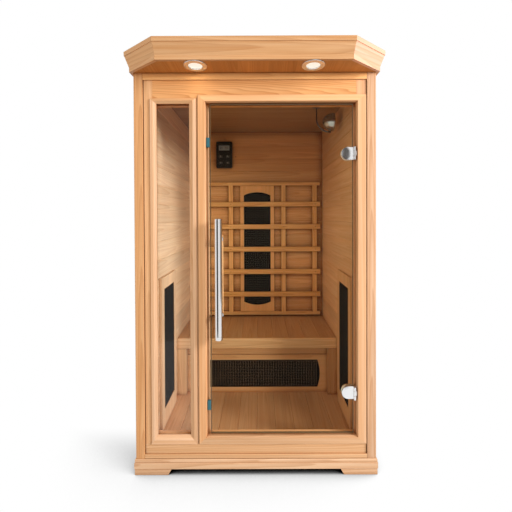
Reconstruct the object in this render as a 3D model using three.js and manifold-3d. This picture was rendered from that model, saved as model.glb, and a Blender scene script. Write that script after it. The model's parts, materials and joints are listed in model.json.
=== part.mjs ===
// Infrared sauna cabin for two people, in millimetres with +Z up.
// While it is built, the face of the front wall is Y = 0 and the room in front of it is -Y.
import * as THREE from 'three';
import { mergeVertices } from 'three/addons/utils/BufferGeometryUtils.js';
import Module from 'manifold-3d';

const wasm = await Module();
wasm.setup();

// Body
const bodyWidth = 1090;
const insideDepth = 948;
const wallThickness = 45;
const frontThickness = 55;
const soffitHeight = 1814;
const fit = 0.3;
const overlap = 1;

// Boards
const boardPitch = 96;
const grooveWidth = 5;
const grooveDepth = 3;
const edgeEase = 1.5;

// Plinth and floor
const plinthHeight = 71;
const plinthOut = 6;
const plinthBead = 15;
const plinthGroove = 2;
const footHeight = 26;
const footLength = 153;
const footSlant = 15;
const floorHeight = 54;
const plankThickness = 25;
const joistWidth = 60;
const joistInset = 70;

// Front wall frame
const postWidth = 41;
const postEase = 3;
const shadowGap = 3;
const panelSetback = 6;
const topBattenHeight = 30;
const bottomBattenHeight = 19;
const bottomRailHeight = 46;
const sillRise = 30;
const stileWidth = 39;
const mullionLap = 4;
const stopLap = 4;
const latchStop = 8;
const tongueSetback = 6;

// Window and door casings
const casingDepth = 30;
const casingDrop = 10;
const casingGroove = 8;
const casingLap = 11;
const windowWidth = 149;
const windowCasingWidth = 32;
const windowCasingLeft = 27;
const windowCasingHead = 21;
const windowCasingBevel = 17;
const windowHeadHeight = 83;
const windowRise = 38;
const windowRebateWidth = 8;
const windowRebateFront = 16;
const windowGlassThickness = 6;
const doorCasingWidth = 42;
const doorCasingLatch = 34;
const doorCasingHead = 31;
const doorCasingBevel = 5;
const doorHeadHeight = 68;
const doorRise = 32;

// Door glass
const doorGlassThickness = 8;
const doorGlassSetback = 20;
const doorGapLatch = 17;
const doorGapHinge = 11;
const doorGapTop = 4;
const doorGapBottom = 4;
const glassEase = 1;

// Hinges
const hingeHeight = 58;
const hingeFromTop = 228;
const hingeFromBottom = 190.5;
const clampWidth = 60;
const clampThickness = 8;
const clampWeb = 4;
const knuckleRadius = 6;
const knuckleLength = 18;
const pinRadius = 3;
const hingeClearance = 0.7;
const pivotFromJamb = 9;
const leafThickness = 3;
const leafDepth = 28;

// Door handle, inner pull and latch pads
const handleRadius = 17;
const handleLength = 531;
const handleReach = 62;
const handleFromEdge = 45;
const handleFromBottom = 720.5;
const standoffSpacing = 347;
const standoffRadius = 8;
const handleEaseShare = 6;
const rosetteRadius = 14;
const rosetteThickness = 4;
const pullRadius = 9;
const pullReach = 38;
const padHeight = 43;
const padDepth = 12;
const padClearance = 1.2;
const padFromTop = 174;
const padFromBottom = 131.5;

// Roof and crown
const roofThickness = 20;
const crownHeight = 86;
const crownOverhang = 120;
const crownSideOut = 15;
const crownCutWidth = 150;
const crownCutDepth = 112;
const crownFlare = 20;
const crownThickness = 14;
const crownLip = 19;
const crownBand = 20;
const crownCrease = 1.6;

// Downlights in the soffit
const downlightRadius = 50;
const downlightFlange = 4;
const downlightFromCorner = 158;
const downlightFromFront = 52;
const downlightEase = 2;
const canRadius = 34;
const canWall = 2;
const canHeight = 55;
const lensThickness = 5;

// Power box in the roof tray
const powerBoxWidth = 320;
const powerBoxDepth = 220;
const powerBoxHeight = 58;
const powerBoxEase = 2;
const glandRadius = 11;
const glandLength = 22;

// Heaters
const heaterFrameThickness = 15;
const heaterPanelThickness = 8;
const heaterRecess = 3;
const backHeaterWidth = 203;
const backHeaterEndMargin = 50;
const backHeaterArch = 24;
const backBoardMargin = 27.5;
const benchHeaterEndMargin = 102;
const benchHeaterMargin = 31;
const benchHeaterArch = 16;
const benchSlot = 52;
const slotBoardThickness = 6;
const sideHeaterWidth = 187;
const sideHeaterRise = 96;
const sideHeaterTopMargin = 62;
const sideBoardMargin = 41;
const sideBoardHeight = 795;
const sideHeaterFromBench = 72;

// Bench
const benchHeight = 404;
const benchDepth = 460;
const seatThickness = 22;
const apronHeight = 62;
const apronThickness = 20;
const apronEase = 3;
const benchLegWidth = 58;
const benchLegDepth = 32;

// Backrest
const backrestSideGap = 24;
const backrestAboveBench = 15;
const backrestBelowCeiling = 386;
const railHeight = 24;
const columnWidth = 32;
const columnDepth = 25;
const columnInset = 39;
const columnHeaterGap = 55;
const slatCount = 5;
const slatHeight = 35;
const slatThickness = 14;
const slatEase = 2.5;
const slatsAboveRail = 119;
const slatsBelowRail = 125;

// Lamp under the ceiling
const lampFromWall = 143;
const lampFromFront = 390;
const roseRadius = 26;
const roseThickness = 8;
const roseEase = 4;
const yokeRadius = 4;
const yokeDrop = 71;
const yokeBend = 78;
const domeRadius = 53;
const domeDepth = 66;
const domeWall = 2.5;
const domeRimAhead = 22;
const domeHubRadius = 6.5;
const domeHubLength = 9;
const lampPinRadius = 2.5;
const lampPinTip = 2;

// Control panel on the back wall
const controlWidth = 120;
const controlHeight = 199;
const controlDepth = 22;
const controlCorner = 6;
const controlFromMiddle = 249;
const controlFromCeiling = 76;
const displayWidth = 82;
const displayHeight = 38;
const displayFromTop = 29;
const displayRecess = 2;
const keyWidth = 28;
const keyHeight = 18;
const keyPitchX = 54;
const keyPitchZ = 48;
const keyRowFromBottom = 38;
const keyProud = 1.5;
const keyTravel = 1;
const keyThickness = 6;
const keyEase = 2;

// Places worked out from the sizes
const halfBody = bodyWidth / 2;
const halfInside = halfBody - wallThickness;
const insideBack = frontThickness + insideDepth;
const bodyDepth = insideBack + wallThickness;
const cabinHeight = soffitHeight + crownHeight;
const postInner = halfBody - postWidth;
const panelEdge = postInner - shadowGap;
const behindCasing = casingDepth + fit;
const railBottom = plinthHeight + fit;
const railTop = railBottom + bottomBattenHeight + bottomRailHeight;
const casingBottom = railTop + fit;
const sillTop = railTop + sillRise;
const frontTop = soffitHeight - fit;
const headerTop = frontTop - topBattenHeight;
const windowCasingTop = headerTop - windowHeadHeight;
const doorCasingTop = headerTop - doorHeadHeight;
const windowOuterLeft = -panelEdge + stileWidth - casingLap;
const windowLeft = windowOuterLeft + windowCasingLeft;
const windowRight = windowLeft + windowWidth;
const windowBottom = casingBottom + windowRise;
const windowTop = windowCasingTop - windowCasingHead;
const windowOuterRight = windowRight + windowCasingWidth;
const doorOuterLeft = windowOuterRight + casingGroove;
const doorLeft = doorOuterLeft + doorCasingLatch;
const doorRight = panelEdge - doorCasingWidth;
const doorBottom = casingBottom + doorRise;
const doorTop = doorCasingTop - doorCasingHead;
const glassLeft = doorLeft + doorGapLatch;
const glassRight = doorRight - doorGapHinge;
const glassBottom = doorBottom + doorGapBottom;
const glassTop = doorTop - doorGapTop;
const glassFront = doorGlassSetback;
const glassBack = glassFront + doorGlassThickness;
const headStop = glassTop - stopLap;
const benchFront = insideBack - benchDepth;
const backrestBottom = benchHeight + backrestAboveBench;
const backrestTop = soffitHeight - backrestBelowCeiling;
const apronBottom = benchHeight - apronHeight;
const seatUnder = benchHeight - seatThickness;

const colours = {
  wood: 0xe0b183,
  glass: 0x8a6a50,
  clearGlass: 0xd8cdc0,
  chrome: 0xd4d4d2,
  rubber: 0x37707a,
  heater: 0x1c1b1a,
  black: 0x171717,
  lens: 0xfbfaf6,
  grey: 0x8d9088,
};

function finish(colour, roughness, metalness = 0) {
  return new THREE.MeshStandardMaterial({ color: colour, roughness, metalness });
}

const wood = () => finish(colours.wood, 0.55);
const chrome = () => finish(colours.chrome, 0.15, 1);

const cabin = new THREE.Group();

function addPiece(name, geometry, material, parent = cabin) {
  const mesh = new THREE.Mesh(geometry, material);
  mesh.name = name;
  parent.add(mesh);
  return mesh;
}

// Outlines and solids

function outline(points) {
  return new THREE.Shape(points.map(([x, y]) => new THREE.Vector2(x, y)));
}

function rectangle(left, right, bottom, top, ease = 0) {
  if (ease === 0) {
    return outline([[left, bottom], [right, bottom], [right, top], [left, top]]);
  }
  return outline([
    [left + ease, bottom], [right - ease, bottom], [right, bottom + ease], [right, top - ease],
    [right - ease, top], [left + ease, top], [left, top - ease], [left, bottom + ease],
  ]);
}

// Extrudes an outline along one axis: drawn in (y, z) for x, in (x, z) for y and in (x, y) for z.
function extrude(axis, shape, start, end, curveSegments = 6) {
  const depth = end - start;
  const geometry = new THREE.ExtrudeGeometry(shape, { depth, bevelEnabled: false, curveSegments });
  const [x, y, z] = [0, 1, 2].map((i) => new THREE.Vector3().setComponent(i, 1));
  const frames = { x: [y, z, x], y: [x, z, y.clone().negate()], z: [x, y, z] };
  geometry.applyMatrix4(new THREE.Matrix4().makeBasis(...frames[axis]));
  const shift = axis === 'y' ? end : start;
  geometry.translate(...['x', 'y', 'z'].map((name) => (name === axis ? shift : 0)));
  return geometry;
}

// Board between two corners, with its long edges eased.
function board(low, high, ease = edgeEase) {
  const spans = high.map((value, i) => value - low[i]);
  const long = spans.indexOf(Math.max(...spans));
  const [a, b] = [[1, 2], [0, 2], [0, 1]][long];
  const shape = rectangle(low[a], high[a], low[b], high[b], ease);
  return extrude('xyz'[long], shape, low[long], high[long]);
}

function cylinder(axis, radius, centre, start, end, sides = 24) {
  const shape = new THREE.Shape().absarc(centre[0], centre[1], radius, 0, 2 * Math.PI);
  return extrude(axis, shape, start, end, sides / 2);
}

// Turned solid about Z from a counter-clockwise profile of [radius, height] points.
function turned(profile, segments = 32) {
  const geometry = new THREE.LatheGeometry(outline(profile).getPoints(), segments);
  return geometry.rotateX(Math.PI / 2);
}

function toSolid(geometry) {
  const bare = geometry.clone();
  bare.deleteAttribute('normal');
  bare.deleteAttribute('uv');
  const merged = mergeVertices(bare, 1e-4);
  const index = merged.index.array;
  const triangles = [];
  for (let i = 0; i < index.length; i += 3) {
    const corners = [index[i], index[i + 1], index[i + 2]];
    if (new Set(corners).size === 3) {
      triangles.push(...corners);
    }
  }
  const vertProperties = new Float32Array(merged.attributes.position.array);
  const triVerts = new Uint32Array(triangles);
  return new wasm.Manifold(new wasm.Mesh({ numProp: 3, vertProperties, triVerts }));
}

function fromSolid(solid) {
  const mesh = solid.getMesh();
  const geometry = new THREE.BufferGeometry();
  geometry.setAttribute('position', new THREE.BufferAttribute(mesh.vertProperties, 3));
  geometry.setIndex(new THREE.BufferAttribute(mesh.triVerts, 1));
  return geometry;
}

function joined(...geometries) {
  return fromSolid(geometries.map(toSolid).reduce((all, next) => all.add(next)));
}

function cut(geometry, ...tools) {
  return fromSolid(tools.map(toSolid).reduce((rest, tool) => rest.subtract(tool), toSolid(geometry)));
}

// Moulding swept along a plan path with mitred corners. Profile points are [outward, height], outward
// being to the right of the path. A run from one corner to another keeps half a joint's gap at each mitre.
function moulding(path, profile, { closed = false, from = 0, to = path.length - 1, stretch = [] } = {}) {
  const count = path.length;
  const points = path.map(([x, y]) => new THREE.Vector2(x, y));
  const loop = THREE.ShapeUtils.area(profile.map(([o, h]) => new THREE.Vector2(o, h))) < 0
    ? [...profile].reverse() : profile;
  const heading = (i) => points[(i + 1) % count].clone().sub(points[(i + count) % count]).normalize();
  const right = (d) => new THREE.Vector2(d.y, -d.x);
  const positions = [];
  const stations = closed ? [...points.keys()] : [...points.keys()].slice(from, to + 1);
  for (const i of stations) {
    const hasBefore = closed || i > 0;
    const hasAfter = closed || i < count - 1;
    const before = right(heading(hasBefore ? i - 1 : i));
    const after = right(heading(hasAfter ? i : i - 1));
    const mitre = before.clone().add(after).divideScalar(1 + before.dot(after));
    mitre.multiply(new THREE.Vector2(...(stretch[i] ?? [1, 1])));
    const pull = new THREE.Vector2();
    if (!closed && i === from && from > 0) {
      pull.copy(heading(i)).multiplyScalar(fit / 2);
    }
    if (!closed && i === to && to < count - 1) {
      pull.copy(heading(i - 1)).multiplyScalar(-fit / 2);
    }
    for (const [outward, height] of loop) {
      const spot = points[i].clone().addScaledVector(mitre, outward).add(pull);
      positions.push(spot.x, spot.y, height);
    }
  }
  const size = loop.length;
  const rings = stations.length;
  const index = [];
  for (let k = 0; k < (closed ? rings : rings - 1); k += 1) {
    for (let j = 0; j < size; j += 1) {
      const a = k * size + j;
      const b = k * size + ((j + 1) % size);
      const c = ((k + 1) % rings) * size + ((j + 1) % size);
      const d = ((k + 1) % rings) * size + j;
      index.push(a, c, b, a, d, c);
    }
  }
  if (!closed) {
    const last = (rings - 1) * size;
    const face = THREE.ShapeUtils.triangulateShape(loop.map(([o, h]) => new THREE.Vector2(o, h)), []);
    for (const [a, b, c] of face) {
      index.push(a, b, c, last + a, last + c, last + b);
    }
  }
  const geometry = new THREE.BufferGeometry();
  geometry.setAttribute('position', new THREE.Float32BufferAttribute(positions, 3));
  geometry.setIndex(index);
  return geometry;
}

// Section of a boarded panel as [along, thickness] points, with a V-groove at each board joint.
function boardedFace(start, end, face, inward) {
  const count = Math.max(1, Math.round((end - start) / boardPitch));
  const pitch = (end - start) / count;
  const points = [[start, face]];
  for (let i = 1; i < count; i += 1) {
    const joint = start + i * pitch;
    points.push([joint - grooveWidth / 2, face]);
    points.push([joint, face + inward * grooveDepth]);
    points.push([joint + grooveWidth / 2, face]);
  }
  points.push([end, face]);
  return points;
}

function boardedPanel(start, end, faceLow, faceHigh) {
  return [...boardedFace(start, end, faceLow, 1), ...boardedFace(start, end, faceHigh, -1).reverse()];
}

const swap = (points) => points.map(([a, b]) => [b, a]);

// Base

function addBase() {
  const path = [[-halfBody, bodyDepth], [-halfBody, 0], [halfBody, 0], [halfBody, bodyDepth]];
  const beadBottom = plinthHeight - plinthBead;
  const profile = [
    [-wallThickness, 0], [plinthOut - plinthGroove, 0], [plinthOut - plinthGroove, footHeight - plinthGroove],
    [plinthOut - 2 * plinthGroove, footHeight], [plinthOut, footHeight + plinthGroove],
    [plinthOut, beadBottom - plinthGroove], [plinthOut - 2 * plinthGroove, beadBottom],
    [plinthOut - plinthGroove, beadBottom + plinthGroove],
    [plinthOut - plinthGroove, plinthHeight - 2 * plinthGroove],
    [plinthOut - 2 * plinthGroove, plinthHeight], [-wallThickness, plinthHeight],
  ];
  const under = (start, end) => outline([
    [start + footLength, 0], [start + footLength, -overlap],
    [end - footLength, -overlap], [end - footLength, 0],
    [end - footLength - footSlant, footHeight], [start + footLength + footSlant, footHeight],
  ]);
  const reach = halfBody + plinthOut;
  const frontCut = extrude('y', under(-reach, reach), -plinthOut - overlap, wallThickness + overlap);
  addPiece('plinth_front', cut(moulding(path, profile, { from: 1, to: 2 }), frontCut), wood());
  for (const [name, from, side] of [['plinth_left', 0, -1], ['plinth_right', 2, 1]]) {
    const edges = [side * (halfInside - overlap), side * (reach + overlap)].sort((a, b) => a - b);
    const sideCut = extrude('x', under(-plinthOut, bodyDepth), ...edges);
    addPiece(name, cut(moulding(path, profile, { from, to: from + 1 }), sideCut), wood());
  }

  const halfFloor = halfInside - fit;
  const floorFront = wallThickness + fit;
  const plankBottom = floorHeight - plankThickness;
  const top = boardedFace(-halfFloor, halfFloor, floorHeight, -1);
  const plankSection = outline([[-halfFloor, plankBottom], [halfFloor, plankBottom], ...top.reverse()]);
  const planks = extrude('y', plankSection, floorFront, bodyDepth);
  const joistEdge = halfFloor - joistInset;
  const joists = [-joistEdge, -joistWidth / 2, joistEdge - joistWidth].map((left) => extrude(
    'y',
    rectangle(left, left + joistWidth, 0, plankBottom + overlap),
    floorFront + joistInset,
    bodyDepth - joistInset,
  ));
  const rearRail = board([-halfFloor, insideBack, plankBottom], [halfFloor, bodyDepth, plinthHeight], 0);
  addPiece('floor_panel', joined(planks, ...joists, rearRail), wood());
}

// Front wall

function addFrontFrame() {
  for (const [name, side] of [['post_left', -1], ['post_right', 1]]) {
    const section = [
      [halfBody, postEase], [halfBody - postEase, 0], [postInner + edgeEase, 0], [postInner, edgeEase],
      [postInner, frontThickness], [halfBody, frontThickness],
    ].map(([x, y]) => [side * x, y]);
    addPiece(name, extrude('z', outline(section), railBottom, frontTop), wood());
  }

  const halfBatten = postInner - fit;
  const header = extrude('x', outline([
    [panelSetback, frontTop - edgeEase], [panelSetback, windowCasingTop + fit],
    [behindCasing, windowCasingTop + fit], [behindCasing, headStop],
    [frontThickness, headStop], [frontThickness, frontTop - edgeEase],
  ]), -panelEdge + stileWidth + fit, doorRight - fit);
  const topBatten = board([-halfBatten, 0, headerTop], [halfBatten, frontThickness, frontTop]);
  const doorHead = board(
    [doorOuterLeft - fit, -overlap, headStop],
    [doorRight, behindCasing, doorCasingTop + fit],
    0,
  );
  addPiece('header_board', cut(joined(header, topBatten), doorHead), wood());

  const battenTop = railBottom + bottomBattenHeight;
  const rail = extrude('x', outline([
    [panelSetback, railBottom + edgeEase], [panelSetback, railTop], [behindCasing, railTop],
    [behindCasing, sillTop], [frontThickness, sillTop], [frontThickness, railBottom + edgeEase],
  ]), -panelEdge, panelEdge);
  const bottomBatten = board([-halfBatten, 0, railBottom], [halfBatten, frontThickness, battenTop]);
  addPiece('bottom_rail', joined(rail, bottomBatten), wood());

  const stileTop = headerTop - fit;
  const stile = extrude('x', outline([
    [panelSetback, casingBottom], [behindCasing, casingBottom], [behindCasing, sillTop + fit],
    [frontThickness, sillTop + fit], [frontThickness, stileTop], [panelSetback, stileTop],
  ]), -panelEdge, -panelEdge + stileWidth);
  const casingRoom = board(
    [windowOuterLeft - fit, 0, casingBottom - overlap],
    [windowLeft, behindCasing, windowCasingTop + fit],
    0,
  );
  addPiece('stile_left', cut(stile, casingRoom), wood());
  addPiece('stile_right', extrude('x', outline([
    [behindCasing, sillTop + fit], [frontThickness, sillTop + fit], [frontThickness, stileTop],
    [panelSetback, stileTop], [panelSetback, doorCasingTop + fit], [behindCasing, doorCasingTop + fit],
  ]), doorRight, panelEdge), wood());
  const [mullionLow, mullionHigh] = [sillTop + fit, headStop - fit];
  const mullion = board(
    [windowRight - mullionLap, behindCasing, mullionLow],
    [doorLeft + latchStop, frontThickness, mullionHigh],
  );
  const [tongueLeft, tongueRight] = [windowOuterRight + fit, doorOuterLeft - fit];
  const tongue = board(
    [tongueLeft, tongueSetback, casingBottom + fit],
    [tongueRight, casingDepth, windowCasingTop - fit],
    0,
  );
  const neck = board(
    [tongueLeft, casingDepth - overlap, mullionLow + overlap],
    [tongueRight, behindCasing + overlap, mullionHigh - overlap],
    0,
  );
  addPiece('mullion', joined(mullion, tongue, neck), wood());
}

// Casing swept round an opening: profile points are [away from the opening, towards the room]. Shares
// make the left, right, foot and head members narrower or wider than the profile.
function casing(left, right, bottom, top, profile, shares) {
  const path = [[left, bottom], [right, bottom], [right, top], [left, top]];
  const stretch = [
    [shares.left, shares.foot], [shares.right, shares.foot],
    [shares.right, shares.head], [shares.left, shares.head],
  ];
  return moulding(path, profile, { closed: true, stretch }).rotateX(Math.PI / 2);
}

function addWindow() {
  const profile = [
    [0, -windowRebateFront], [0, -casingDrop], [windowCasingBevel, 0], [windowCasingWidth - edgeEase, 0],
    [windowCasingWidth, -edgeEase], [windowCasingWidth, -casingDepth], [windowRebateWidth, -casingDepth],
    [windowRebateWidth, -windowRebateFront],
  ];
  const shares = {
    left: windowCasingLeft / windowCasingWidth,
    right: 1,
    foot: 1,
    head: windowCasingHead / windowCasingWidth,
  };
  const frame = casing(windowLeft, windowRight, windowBottom, windowTop, profile, shares);
  const footTop = windowBottom - windowCasingWidth + 2 * edgeEase;
  const foot = board([windowOuterLeft, 0, casingBottom], [windowOuterRight, casingDepth, footTop], 0);
  addPiece('window_casing', joined(frame, foot), wood());
  const lap = (share) => windowRebateWidth * share - fit;
  const front = windowRebateFront + fit;
  addPiece('window_glass', board(
    [windowLeft - lap(shares.left), front, windowBottom - lap(shares.foot)],
    [windowRight + lap(shares.right), front + windowGlassThickness, windowTop + lap(shares.head)],
    0,
  ), finish(colours.clearGlass, 0.05));
}

// Door

function addDoorCasing() {
  const profile = [
    [0, -casingDepth], [0, -casingDrop], [doorCasingBevel, 0], [doorCasingWidth - edgeEase, 0],
    [doorCasingWidth, -edgeEase], [doorCasingWidth, -casingDepth],
  ];
  const shares = {
    left: doorCasingLatch / doorCasingWidth,
    right: 1,
    foot: doorRise / doorCasingWidth,
    head: doorCasingHead / doorCasingWidth,
  };
  addPiece('door_casing', casing(doorLeft, doorRight, doorBottom, doorTop, profile, shares), wood());
  const heights = { upper: glassTop - padFromTop, lower: glassBottom + padFromBottom };
  for (const [place, middle] of Object.entries(heights)) {
    addPiece(`catch_pad_${place}`, board(
      [doorLeft + fit, glassBack - padDepth, middle - padHeight / 2],
      [glassLeft - padClearance, glassBack, middle + padHeight / 2],
    ), finish(colours.rubber, 0.6));
  }
}

// Bar on two standoffs. Reach goes from the glass face to the bar's axis, away from the glass.
function pullHandle(radius, length, middle, face, reach) {
  const x = glassLeft + handleFromEdge;
  const axisY = face + reach;
  const ease = radius / handleEaseShare;
  const bar = turned([
    [0, -length / 2], [radius - ease, -length / 2], [radius, -length / 2 + ease],
    [radius, length / 2 - ease], [radius - ease, length / 2], [0, length / 2],
  ], 24).translate(x, axisY, middle);
  const away = Math.sign(reach);
  const seat = face + away * fit;
  const posts = [-1, 1].map((end) => {
    const spot = [x, middle + end * standoffSpacing / 2];
    const span = [seat, axisY].sort((a, b) => a - b);
    const flange = [seat, seat + away * rosetteThickness].sort((a, b) => a - b);
    const post = cylinder('y', standoffRadius, spot, ...span);
    const rosette = cylinder('y', rosetteRadius, spot, ...flange);
    return joined(post, rosette);
  });
  return joined(bar, ...posts);
}

function addHinge(place, middle) {
  const pivotX = doorRight - pivotFromJamb;
  const plateFront = glassFront - fit - clampThickness;
  const pivotY = plateFront - hingeClearance - knuckleRadius;
  const half = hingeHeight / 2;
  const webInner = glassRight + fit;
  const plateRight = webInner + clampWeb;
  const plateLeft = plateRight - clampWidth;
  const plate = new THREE.Shape();
  plate.moveTo(plateRight, middle - half);
  plate.lineTo(plateRight, middle + half);
  plate.lineTo(plateLeft + half, middle + half);
  plate.absarc(plateLeft + half, middle, half, Math.PI / 2, 1.5 * Math.PI);
  const backFace = glassBack + fit;
  const plateBack = backFace + clampThickness;
  const inner = half - knuckleLength;
  const bore = pinRadius + fit;
  const knuckles = [[-half, -inner], [inner, half]].flatMap(([low, high]) => [
    turned([[bore, low], [knuckleRadius, low], [knuckleRadius, high], [bore, high], [bore, low]], 20)
      .translate(pivotX, pivotY, middle),
    board(
      [pivotX - knuckleRadius, pivotY + bore + overlap, middle + low],
      [pivotX, plateFront + overlap, middle + high],
      0,
    ),
  ]);
  addPiece(`hinge_${place}_clamp`, joined(
    extrude('y', plate, plateFront, glassFront - fit, 10),
    extrude('y', plate, backFace, plateBack, 10),
    board([webInner, plateFront, middle - half], [plateRight, plateBack, middle + half], 0),
    ...knuckles,
  ), chrome());

  const reveal = doorRight - fit;
  const middleHalf = inner - fit;
  const armFront = pivotY - pinRadius / 2;
  const leafFront = casingDrop + fit;
  const armBack = leafFront + clampWeb;
  const armLeft = plateRight + clampWeb / 2;
  const leafBack = leafFront + leafDepth;
  addPiece(`hinge_${place}_leaf`, joined(
    cylinder('z', knuckleRadius, [pivotX, pivotY], middle - middleHalf, middle + middleHalf, 20),
    cylinder('z', pinRadius, [pivotX, pivotY], middle - half, middle + half, 16),
    board([armLeft, armFront, middle - middleHalf], [reveal, armBack, middle + middleHalf], 0),
    board([reveal - leafThickness, leafFront, middle - half], [reveal, leafBack, middle + half], 0),
  ), chrome());
}

function addDoor() {
  const sheet = board([glassLeft, glassFront, glassBottom], [glassRight, glassBack, glassTop], glassEase);
  addPiece('door_glass', sheet, finish(colours.glass, 0.05));
  addHinge('upper', glassTop - hingeFromTop);
  addHinge('lower', glassBottom + hingeFromBottom);
  const middle = glassBottom + handleFromBottom;
  const handle = pullHandle(handleRadius, handleLength, middle, glassFront, -handleReach);
  addPiece('door_handle', handle, chrome());
  const pullLength = standoffSpacing + 2 * rosetteRadius;
  const pull = pullHandle(pullRadius, pullLength, middle, glassBack, pullReach);
  addPiece('door_pull', pull, wood());
}

// Walls and roof

function addWalls() {
  const bottom = railBottom;
  const sideSection = boardedPanel(bottom, frontTop, halfInside, halfBody);
  const wallFront = frontThickness + fit;
  const wallRear = insideBack - fit;
  for (const [name, side] of [['wall_left', -1], ['wall_right', 1]]) {
    const section = swap(sideSection).map(([x, z]) => [side * x, z]);
    addPiece(name, extrude('y', outline(section), wallFront, wallRear), wood());
  }
  const backSection = swap(boardedPanel(bottom, cabinHeight, insideBack, bodyDepth));
  addPiece('wall_back', extrude('x', outline(backSection), -halfBody, halfBody), wood());
}

const crownSide = halfBody + crownSideOut;
const crownFront = crownSide - crownCutWidth;
const downlightX = crownFront - downlightFromCorner;
const downlightY = downlightFromFront - crownOverhang;
const crownPath = [
  [-crownSide, bodyDepth], [-crownSide, crownCutDepth - crownOverhang], [-crownFront, -crownOverhang],
  [crownFront, -crownOverhang], [crownSide, crownCutDepth - crownOverhang], [crownSide, bodyDepth],
];

function addCrown() {
  const band = soffitHeight + crownHeight - crownBand;
  const slope = crownFlare - 2 * crownCrease;
  const lipTop = soffitHeight + crownLip;
  const profile = [
    [-crownThickness, soffitHeight], [0, soffitHeight], [0, lipTop],
    [slope, band - crownCrease], [slope - crownCrease / 2, band],
    [crownFlare - crownCrease / 2, band + crownCrease / 2], [crownFlare, cabinHeight - crownCrease / 2],
    [crownFlare - crownCrease / 2, cabinHeight],
    [crownFlare - crownThickness, cabinHeight], [-crownThickness, soffitHeight + roofThickness + crownCrease],
  ];
  addPiece('crown_left', moulding(crownPath, profile, { from: 0, to: 2 }), wood());
  addPiece('crown_front', moulding(crownPath, profile, { from: 2, to: 3 }), wood());
  addPiece('crown_right', moulding(crownPath, profile, { from: 3, to: 5 }), wood());
}

function addRoof() {
  const inset = crownThickness + fit;
  const points = crownPath.map(([x, y]) => new THREE.Vector2(x, y));
  const cutAngle = points[2].clone().sub(points[1]).angle();
  const sideShift = inset * Math.tan((Math.PI / 2 + cutAngle - 2 * Math.PI) / 2);
  const frontShift = inset * Math.tan((2 * Math.PI - cutAngle) / 2);
  const side = crownSide - inset;
  const corner = crownCutDepth - crownOverhang + sideShift;
  const front = -crownOverhang + inset;
  const flat = crownFront - frontShift;
  const rear = insideBack - fit;
  const shape = outline([
    [-side, rear], [-side, corner], [-flat, front], [flat, front], [side, corner], [side, rear],
  ]);
  for (const x of [-downlightX, downlightX]) {
    shape.holes.push(new THREE.Path().absarc(x, downlightY, canRadius + fit, 0, 2 * Math.PI));
  }
  addPiece('roof_panel', extrude('z', shape, soffitHeight, soffitHeight + roofThickness, 16), wood());
}

function addDownlight(place, x) {
  const inner = canRadius - canWall;
  const lip = inner - canWall;
  const lipTop = canWall;
  const ring = turned([
    [lip, -downlightFlange], [downlightRadius - downlightEase, -downlightFlange],
    [downlightRadius, -downlightFlange / 2], [downlightRadius, -fit], [canRadius, -fit],
    [canRadius, canHeight], [0, canHeight], [0, canHeight - canWall], [inner, canHeight - canWall],
    [inner, lipTop], [lip, lipTop], [lip, -downlightFlange],
  ]).translate(x, downlightY, soffitHeight);
  addPiece(`downlight_${place}_ring`, ring, chrome());
  const low = lipTop + fit;
  const high = low + lensThickness;
  const lens = turned([[0, low], [inner - fit, low], [inner - fit, high], [0, high]])
    .translate(x, downlightY, soffitHeight);
  addPiece(`downlight_${place}_lens`, lens, finish(colours.lens, 0.3));
}

function addPowerBox() {
  const roofTop = soffitHeight + roofThickness + fit;
  const rear = insideBack - wallThickness;
  const half = powerBoxWidth / 2;
  const low = [-half, rear - powerBoxDepth, roofTop];
  const box = board(low, [half, rear, roofTop + powerBoxHeight], powerBoxEase);
  const glandSpot = [half / 2, roofTop + powerBoxHeight / 2];
  const gland = cylinder('y', glandRadius, glandSpot, rear - overlap, rear + glandLength);
  addPiece('power_box', joined(box, gland), finish(colours.grey, 0.5));
}

// Heaters

// Upright heater outline, its two ends bowed outwards by the arch.
function heaterOutline(width, height, arch) {
  const [x, y] = [width / 2, height / 2];
  if (arch === 0) {
    return rectangle(-x, x, -y, y);
  }
  const radius = (x * x + arch * arch) / (2 * arch);
  const sweep = Math.asin(x / radius);
  const shape = new THREE.Shape();
  shape.absarc(0, y - radius, radius, Math.PI / 2 - sweep, Math.PI / 2 + sweep);
  shape.absarc(0, radius - y, radius, 1.5 * Math.PI - sweep, 1.5 * Math.PI + sweep);
  shape.closePath();
  return shape;
}

// A black panel in its wooden board, drawn upright in (x, y) with the room towards +z.
function addHeater(place, group, { width, height, arch, boardShape, lying = false, backing = null }) {
  boardShape.holes.push(heaterOutline(width, height, arch));
  const front = heaterFrameThickness - heaterRecess;
  let frame = extrude('z', boardShape, 0, heaterFrameThickness, 8);
  if (backing) {
    frame = joined(frame, backing);
  }
  const inside = heaterOutline(width - 2 * fit, height - 2 * fit, arch);
  const panel = extrude('z', inside, front - heaterPanelThickness, front, 8);
  for (const geometry of [frame, panel]) {
    if (lying) {
      geometry.rotateZ(Math.PI / 2);
    }
    geometry.rotateX(Math.PI / 2);
  }
  addPiece(`heater_${place}_frame`, frame, wood(), group);
  addPiece(`heater_${place}_panel`, panel, finish(colours.heater, 0.8), group);
  cabin.add(group);
}

function addBackHeater() {
  const bottom = backrestBottom + railHeight + fit;
  const top = backrestTop - railHeight - fit;
  const half = backHeaterWidth / 2 + backBoardMargin;
  const group = new THREE.Group();
  group.position.set(0, insideBack - fit, (bottom + top) / 2);
  addHeater('back', group, {
    width: backHeaterWidth,
    height: top - bottom - 2 * backHeaterEndMargin,
    arch: backHeaterArch,
    boardShape: rectangle(-half, half, (bottom - top) / 2, (top - bottom) / 2),
  });
}

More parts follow.
